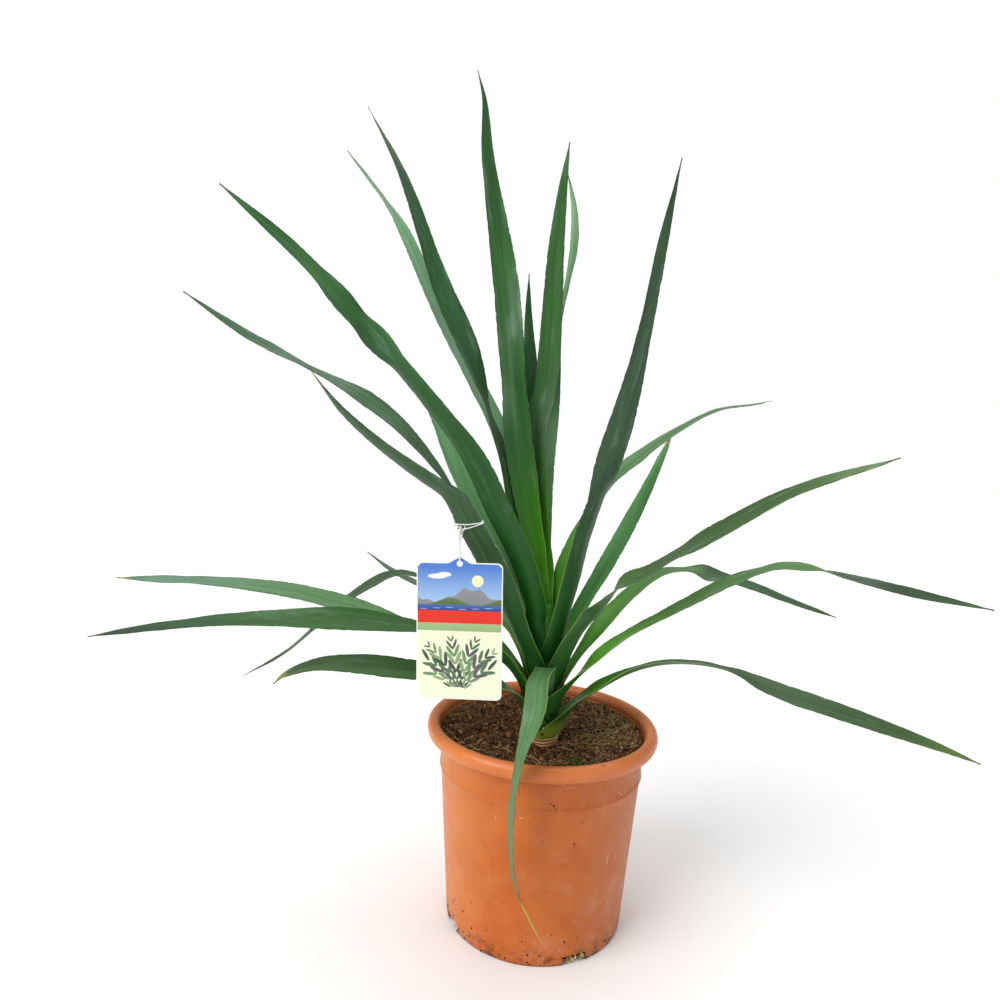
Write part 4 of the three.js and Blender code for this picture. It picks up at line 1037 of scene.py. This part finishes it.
def blade_piece(number, blade, look):
    """A closed leaf with thin margins that wander a little."""
    rows, columns = BLADE_ROWS, BLADE_COLUMNS
    shares = np.linspace(0, 1, rows)
    u = blade.place_at(shares)
    q = np.sin(np.linspace(-1, 1, columns) * math.pi / 2)
    middle = blade.surface(u, q)
    facing = normals(middle)
    distance = blade.along(u)
    half_width = blade.half_width(distance)
    free = smoothstep(distance, CALM_END, WANDER_FULL)
    for side in (-1, 1):
        wander = np.array([grain(d / 16, number * 3.7, side) + 0.5 * grain(d / 5, number * 5.1, side)
                           for d in distance]) * free
        pull = np.abs(np.clip(q * side, 0, 1)) ** 3
        middle += facing * (MARGIN_WANDER * wander[:, None] * pull[None])[..., None]
        nicks = np.array([max(grain(d / 2.4, number * 2.3, 5 + 3 * side), 0) for d in distance])
        nicks *= NICK_DEPTH * free * half_width / (blade.width / 2)
        inward = unit(middle[:, columns // 2] - middle[:, -1 if side > 0 else 0])
        middle += inward[:, None] * (nicks[:, None] * pull[None])[..., None]
    half = MARGIN_HALF_THICKNESS + (BLADE_HALF_THICKNESS - MARGIN_HALF_THICKNESS) * (1 - q**2)
    half = half[None, :, None] * np.minimum(1, 8 * (1.02 - shares))[:, None, None]
    points = np.concatenate([middle + facing * half, middle - facing * half]).reshape(-1, 3)
    lower = rows * columns
    faces = []
    for a in range(0, lower - columns, columns):
        b = a + columns
        for j in range(columns - 1):
            faces.append((a + j, b + j, b + j + 1, a + j + 1))
            faces.append((lower + a + j, lower + a + j + 1, lower + b + j + 1, lower + b + j))
        faces.append((a, lower + a, lower + b, b))
        faces.append((b - 1, b + columns - 1, lower + b + columns - 1, lower + b - 1))
    for j in range(columns - 1):
        a = lower - columns + j
        faces += [(j, j + 1, lower + j + 1, lower + j), (a, lower + a, lower + a + 1, a + 1)]
    width = half_width[:, None] * q[None]
    values = {"across": width, "along": distance[:, None], "share": shares[:, None],
              "edge": half_width[:, None] - np.abs(width)}
    attributes = {key: np.tile(np.broadcast_to(value, width.shape).ravel(), 2)
                  for key, value in values.items()}
    attributes["under"] = np.repeat([0.0, 1.0], lower)
    name = f"leaf_{number:02d}"
    piece = add_piece(name + "_blade", points, faces, look, attributes, sharp=60)
    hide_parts(name)


def leaf_look(number, upper, under, margin=0.25, base=150, tip=0.985, tip_colour=(92, 98, 78), dry=0.5,
              far=None, foot=0, deep=(84, 160, 24)):
    """Green tissue with long veins, a deep green foot with yellow-green margins, and a withered tip."""
    look = Look(f"leaf_tissue_{number:02d}")
    names = ("across", "along", "share", "edge", "under")
    across, along, share, edge, below = (look.attribute(name) for name in names)

    def streaks(width, length, detail=3):
        return look.noise(1, detail, at=look.join(across * width, along * length, number * 13.7))

    fine = streaks(2.6, 0.03)
    broad = streaks(0.3, 0.008, 2)
    rib = abs(across).ramp(1, 0.1)
    sides = []
    for tone, foot_tone, line in ((upper, deep, 0.72), (under, (24, 92, 18), 1.25)):
        look.colour = look.mix(broad.ramp(0.35, 0.65), shade(tone, 0.93), shade(tone, 1.07))
        look.paint(rib * 0.35, tone, line)
        # The foot tone is each leaf's pale base; the brighter one that leaves 17 and 18 give is painted light
        # over their shaded foot.
        look.paint(along.ramp(base, base * 0.2, 0, 0.85), foot_tone)
        sides.append(look.colour)
    look.colour = look.mix(below, *sides)
    if far:
        start, end, tone = far
        look.paint(share.ramp(start, end), tone)
    look.paint(fine.ramp(0.4, 0.75, 0, 0.25), under, 0.6)
    look.paint(streaks(0.07, 0.016).ramp(0.45, 0.75, 0, 0.25), upper, 1.2)
    if foot:
        look.paint(along.ramp(foot, foot * 0.3, 0, 0.85), (150, 176, 58))
    rim = look.mix(along.ramp(190, 50), rgb(124, 150, 104), rgb(140, 180, 76))
    look.colour = look.mix(edge.ramp(0.5, 0.1) * along.ramp(190, 50, margin, 0.85), look.colour, rim)
    worn = edge.ramp(0.9, 0.2) * along.ramp(70, 180, 0, 0.8) * streaks(0.2, 0.12).ramp(0.42, 0.56)
    look.paint(worn, under, 0.5)
    # Painted reflection: pale grey-green streaks over the outer blade stand in for the leaves' sheen.
    sheen = streaks(0.12, 0.02).ramp(0.55, 0.75, 0, 0.3) * along.ramp(60, 160)
    look.paint(sheen, (128, 160, 136))
    uneven = share + (fine - 0.5) * 0.02
    look.paint(uneven.ramp(tip - 0.02, tip + 0.005), tip_colour)
    look.paint(uneven.ramp(0.988, 0.998, 0, dry), (70, 58, 44))
    look.coat(fine.ramp(0.3, 0.7, 0.36, 0.46) + below * 0.06, 0.28)
    look.bump(fine * 0.5 + broad * 0.8 - rib * 0.8, 0.3, 0.25)
    return look


def make_leaves():
    for number, ((form, path, roll), (upper, under, extras)) in enumerate(zip(LEAVES, LEAF_LOOKS), 1):
        blade_piece(number, Blade(path, roll, *form), leaf_look(number, upper, under, **extras))


# Tag, with a plain landscape and sprigs printed on it

def on_tag():
    """The matrix from the card's plane, x right and y up, to its place."""
    turned = Matrix.Rotation(math.radians(-TAG_TILT), 4, "Y") @ Matrix.Rotation(math.radians(90), 4, "X")
    return Matrix.Translation(Vector(TAG_CENTRE) * MM) @ turned


def tag_outline():
    x, y, tab = TAG_WIDTH / 2, TAG_HEIGHT / 2, TAB_WIDTH / 2
    corners = [arc((side * (x - TAG_CORNER), end * (y - TAG_CORNER)), (TAG_CORNER,) * 2, turn, turn + 90, 10)
               for side, end, turn in ((1, -1, -90), (1, 1, 0), (-1, 1, 90), (-1, -1, 180))]
    top = [(-s * tab, y + TAB_RISE * smoothstep(1 - abs(s), 0, 1)) for s in np.linspace(-1, 1, 25)]
    return corners[0] + corners[1] + top + corners[2] + corners[3]


def make_tag():
    curve = bpy.data.curves.new("card", "CURVE")
    curve.dimensions = "2D"
    curve.fill_mode = "BOTH"
    curve.bevel_depth = CARD_BEVEL * MM
    curve.extrude = (TAG_THICKNESS / 2 - CARD_BEVEL) * MM
    for outline in (tag_outline(), arc((0, HOLE_Y), (HOLE_RADIUS, HOLE_RADIUS), 0, 345, 24)):
        line = curve.splines.new("POLY")
        line.points.add(len(outline) - 1)
        for point, (x, y) in zip(line.points, outline):
            point.co = (x * MM, y * MM, 0, 1)
        line.use_cyclic_u = True
    shape = bpy.data.objects.new("card", curve)
    mesh = bpy.data.meshes.new_from_object(shape)
    bpy.data.objects.remove(shape)
    mesh.transform(on_tag())
    look = Look("card_plastic")
    speckle = look.noise(1.4, 5)
    look.ground(speckle, (236, 238, 228), (248, 249, 242))
    look.coat(speckle.ramp(0.3, 0.7, 0.3, 0.4), 0.5)
    look.bump(speckle, 0.1, 0.05)
    card = attach("tag_card", mesh, look)
    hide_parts("tag")


class Print:
    """Flat printed shapes on the card's face, each a hair above the one before."""

    def __init__(self):
        self.points, self.faces, self.colours = [], [], []
        self.level = TAG_THICKNESS / 2 + INK_LEVEL

    def face(self, outline, tones):
        start = len(self.points)
        self.points += [(x, y, self.level) for x, y in outline]
        self.faces.append(tuple(range(start, start + len(outline))))
        self.colours += [rgb(*tone) for tone in tones]

    def shape(self, outline, tone):
        self.level += INK_STEP
        self.face(outline, [tone] * len(outline))

    def oval(self, x, y, width, height, steps, tone):
        self.shape(arc((x, y), (width, height), 0, 350, steps), tone)

    def band(self, low, high, low_tone, high_tone, left=-PRINT_HALF, right=PRINT_HALF):
        """The area between two heights or curves of x, in upright strips."""
        self.level += INK_STEP
        low, high = (edge if callable(edge) else lambda x, height=edge: height for edge in (low, high))
        xs = np.linspace(left, right, 40)
        for a, b in zip(xs[:-1], xs[1:]):
            corners = [(a, low(a)), (b, low(b)), (b, high(b)), (a, high(a))]
            self.face(corners, [low_tone, low_tone, high_tone, high_tone])

    def finish(self):
        mesh = new_mesh("tag_print", self.points, self.faces)
        ink = mesh.color_attributes.new("ink", "FLOAT_COLOR", "POINT")
        ink.data.foreach_set("color", np.array(self.colours, np.float32).ravel())
        mesh.transform(on_tag())
        look = Look("print_ink")
        look.colour = look.attribute("ink", "Color")
        dots = look.noise(2.2, 4)
        look.paint(dots.ramp(0.35, 0.7, 0, 0.05), (255, 255, 255))
        look.coat(dots.ramp(0.3, 0.7, 0.34, 0.44), 0.2)
        attach("tag_print", mesh, look)


def rounding(x):
    """How far the print's rounded corners pull its edge in, at a place across it."""
    return max(0, abs(x) - (PRINT_HALF - 3.4)) ** 2 / 3.6


def print_sky(sheet):
    low, blue = (176, 208, 238), (74, 124, 206)
    gap = HOLE_RADIUS + 0.25
    ceiling = HOLE_Y - gap - 0.4

    def card_top(x):
        rise = TAB_RISE * smoothstep(1 - min(abs(x) / (TAB_WIDTH / 2), 1), 0, 1)
        return TAG_HEIGHT / 2 - PRINT_MARGIN + rise - rounding(x)

    def beside_hole(x):
        return math.sqrt(max(gap**2 - x**2, 0))

    sheet.band(PICTURE_FOOT, ceiling, low, blue)
    sheet.band(ceiling, card_top, blue, blue, right=-gap)
    sheet.band(ceiling, card_top, blue, blue, left=gap)
    sheet.band(ceiling, lambda x: HOLE_Y - beside_hole(x), blue, blue, -gap, gap)
    sheet.band(lambda x: HOLE_Y + beside_hole(x), card_top, blue, blue, -gap, gap)
    sheet.oval(13, 37, 4.2, 4.2, 32, (255, 240, 190))
    sheet.oval(-16, 40, 7, 1.8, 28, (238, 244, 252))
    sheet.oval(-11, 41.4, 5, 1.7, 28, (244, 248, 253))


def print_land(sheet):
    def hill(x):
        return PICTURE_FOOT + 11 + 5 * math.sin(x * 0.12 + 0.6) + 1.2 * math.sin(x * 0.5)

    def near_hill(x):
        return PICTURE_FOOT + 6.5 + 2.6 * math.sin(x * 0.16 + 2.6)

    sheet.band(PICTURE_FOOT, hill, (120, 128, 120), (142, 142, 150))
    sheet.band(PICTURE_FOOT, near_hill, (52, 74, 44), (96, 122, 62))
    sheet.band(PICTURE_FOOT, PICTURE_FOOT + 4.2, (34, 56, 122), (64, 104, 178))
    for i in range(6):
        sheet.oval(-26 + 9.4 * i, PICTURE_FOOT + 1 + 0.6 * (i % 3), 3.1, 0.18, 16, (186, 208, 236))
    sheet.band(RED_FOOT, PICTURE_FOOT, (226, 34, 12), (230, 42, 16))
    sheet.band(STRIP_FOOT, RED_FOOT, (146, 178, 118), (158, 188, 132))
    sheet.band(lambda x: PRINT_FOOT + rounding(x), STRIP_FOOT, (240, 244, 214), (238, 244, 208))


def print_sprigs(sheet):
    rng = np.random.default_rng(8)
    greens = [(84, 116, 84), (112, 146, 104), (62, 78, 70), (92, 88, 96), (140, 166, 122)]
    for stalk in range(7):
        lean = -1.15 + 2.1 * stalk / 6 + rng.normal(0, 0.03)
        reach = rng.uniform(36, 46)
        root_x = -3 + 5 * stalk / 6
        line = []
        for t in np.linspace(0, 1, 15):
            turn = lean * (0.3 + 0.7 * t)
            line.append((root_x + reach * t * math.sin(turn), PRINT_FOOT + 2.4 + reach * t * math.cos(turn)))
        for k in range(2, 15, 2):
            x, y = line[k]
            facing = math.atan2(y - line[k - 1][1], x - line[k - 1][0])
            size = 9.5 * math.sin(math.pi * (k + 1) / 17) + 1.5
            for side in (-1, 1):
                turn = facing + side * 0.5
                leaf = []
                for a in np.linspace(0, FULL_TURN, 12, endpoint=False):
                    out, aside = size / 2 * (1 + math.cos(a)), size * 0.12 * math.sin(a)
                    leaf.append((x + out * math.cos(turn) - aside * math.sin(turn),
                                 y + out * math.sin(turn) + aside * math.cos(turn)))
                low, high = PRINT_FOOT + 0.4, STRIP_FOOT - 0.6
                if all(abs(a) < PRINT_HALF - 0.6 and low < b < high for a, b in leaf):
                    sheet.shape(leaf, greens[(2 * stalk + k) % 5])


def make_print():
    sheet = Print()
    print_sky(sheet)
    print_land(sheet)
    print_sprigs(sheet)
    sheet.finish()


# String

# The knot's loose ends, from its middle
LOOSE_ENDS = [
    [(-3, -1.2, 2.8), (-5.4, -1.4, 4.6), (-7.4, -1, 3.4)],
    [(-1.6, -1.6, 3.6), (-1.8, -1.8, 6.6), (-4.2, -1.5, 7.4), (-5.8, -1.3, 5), (-3.8, -1.2, 2.4)],
    [(0.8, -1.6, 3), (2.4, -1.8, 5.2), (3.4, -1.8, 3.2), (1.6, -1.6, 1)],
    [(-2, -1.2, -1.8), (-4, -1.2, -1), (-4.2, -1, 1.6), (-1, -1, 2.2)],
    [(1.2, -1.2, -3), (1.9, -1.4, -6.6), (0.9, -1.4, -10), (-0.1, -1.4, -6.4), (-0.4, -1.2, -3)],
]


def make_string():
    form, path, roll = LEAVES[TIED_LEAF - 1]
    blade = Blade(path, roll, *form)
    away = BLADE_HALF_THICKNESS + STRING_RADIUS + 0.1

    def surface(u, q):
        around = blade.surface(np.array([u - 1e-3, u, u + 1e-3]), np.array([q - 0.02, q, q + 0.02]))
        return around[1, 1], normals(around)[1, 1]

    def beside(u, q):
        edge, middle = surface(u, q)[0], surface(u, 0)[0]
        return edge + unit(edge - middle) * away

    def over(u, q, side):
        point, facing = surface(u, q)
        return point + facing * away * side

    middle_place = sum(TIED_PLACES) / 2
    margin, facing = surface(middle_place, -1)
    centre, _ = surface(middle_place, 0)
    knot = margin + unit(centre - margin) * KNOT_INSET + facing * KNOT_STANDOFF
    routes = []
    for place in TIED_PLACES:
        def u(q):
            return place + (middle_place - place) * (q + 1) / 2.4
        back = [over(u(q), q, -1) for q in (-0.9, -0.5, 0, 0.5, 0.93)]
        front = [over(u(q), q, 1) for q in (0.93, 0.5, 0, -0.5, -0.8)]
        routes.append([knot, beside(u(-1), -1), *back, beside(u(1), 1), *front, knot])
    hole = HOLE_Y + 0.6
    tab_top = TAG_HEIGHT / 2 + TAB_RISE
    hanging = [(-0.6, -1.2, tab_top + 2), (0, -1.6, tab_top - 1), (0, -1.1, hole + 0.4), (0, 0, hole),
               (0, 1.1, hole + 0.4), (0, 2.2, tab_top - 1)]
    hanging = [np.array(on_tag() @ Vector((x * MM, y * MM, -depth * MM))) / MM for x, depth, y in hanging]
    routes.append([knot, *hanging, knot])
    for i in range(KNOT_LOOPS):
        spin = Matrix.Rotation(1.1 * i + 0.4, 3, Vector((0.3, 1, 0.2)))
        loop = []
        for a in np.linspace(0, FULL_TURN, 9):
            reach = Vector((3.6 * math.cos(a) - 1.8, 0.9 * math.sin(2 * a) - 1.2, 2.8 * math.sin(a) + 0.8))
            loop.append(knot + np.array(spin @ reach))
        routes.append(loop)
    routes += [[knot] + [knot + np.array(end) for end in ends] for ends in LOOSE_ENDS]
    paths = [spline(route, np.linspace(0, 1, STRING_STEPS)) for route in routes]
    points, faces = tubes(paths, STRING_RADIUS, STRING_SIDES)
    look = Look("string")
    inputs = {"Vector": look.place, "Scale": 0.7, "Distortion": 1.5}
    twist = look.node("ShaderNodeTexWave", inputs, "Fac", bands_direction="DIAGONAL")
    look.ground(twist, (242, 242, 240), (254, 254, 254))
    look.coat(twist.ramp(0, 1, 0.6, 0.8), 0.3)
    look.bump(twist, 0.5, 0.15)
    string = add_piece("tag_string", points, faces, look, sharp=80)
    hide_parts("tag_tie")


# Surroundings

def make_floor():
    corners = [(FLOOR_HALF * x, FLOOR_HALF * y, 0) for x, y in ((-1, -1), (1, -1), (1, 1), (-1, 1))]
    mesh = new_mesh("floor", corners, [(0, 1, 2, 3)])
    look = Look("floor_paper")
    look.ground(look.noise(0.02), (250, 250, 250), (253, 253, 252))
    look.coat(0.9, 0.1)
    mesh.materials.append(look.material)
    floor = link("floor", mesh)


def soft_sun(name, place, softness, power):
    """A distant lamp that shines from a place towards the plant."""
    light = bpy.data.lights.new(name, "SUN")
    light.angle = math.radians(softness)
    light.energy = power
    lamp = link(name, light)
    lamp.location = Vector(place) * MM
    lamp.rotation_euler = (-Vector(place)).to_track_quat("-Z", "Y").to_euler()


def make_lights():
    world = bpy.data.worlds.new("studio")
    world.use_nodes = True
    tree = world.node_tree
    background = tree.nodes["Background"]
    background.inputs["Color"].default_value = (1, 1, 1, 1)
    seen = tree.nodes.new("ShaderNodeLightPath").outputs["Is Camera Ray"]
    strength = tree.nodes.new("ShaderNodeMapRange")
    strength.inputs["To Min"].default_value = AMBIENT
    strength.inputs["To Max"].default_value = 1
    tree.links.new(seen, strength.inputs["Value"])
    tree.links.new(strength.outputs[0], background.inputs["Strength"])
    bpy.context.scene.world = world
    bpy.context.scene.view_settings.view_transform = "Standard"
    soft_sun("window", (-1500, -1300, 1500), 40, 2.1)
    soft_sun("bounce", (1600, -1000, 500), 70, 0.2)
    soft_sun("top", (200, 500, 2200), 60, 1.1)


def make_camera():
    yaw, pitch, tilt = (math.radians(v) for v in (CAMERA_YAW, CAMERA_PITCH, CAMERA_TILT))
    ahead = Vector((math.sin(yaw) * math.cos(pitch), math.cos(yaw) * math.cos(pitch), math.sin(pitch)))
    level = Vector((math.cos(yaw), -math.sin(yaw), 0))
    upright = level.cross(ahead)
    right = level * math.cos(tilt) + upright * math.sin(tilt)
    up = upright * math.cos(tilt) - level * math.sin(tilt)
    lens = bpy.data.cameras.new("camera")
    lens.lens = CAMERA_LENS
    lens.sensor_width = CAMERA_SENSOR
    lens.clip_start = 0.01
    camera = link("camera", lens)
    turned = Matrix((right, up, -ahead)).transposed().to_4x4()
    camera.matrix_world = Matrix.Translation(Vector(CAMERA_PLACE) * MM) @ turned
    bpy.context.scene.camera = camera


make_camera()
make_lights()
make_floor()
make_pot()
make_pot_dirt()
make_pot_hairs()
make_soil()
make_crumbs()
make_fibres()
make_moss()
make_stem()
make_resin()
make_leaves()
make_tag()
make_print()
make_string()
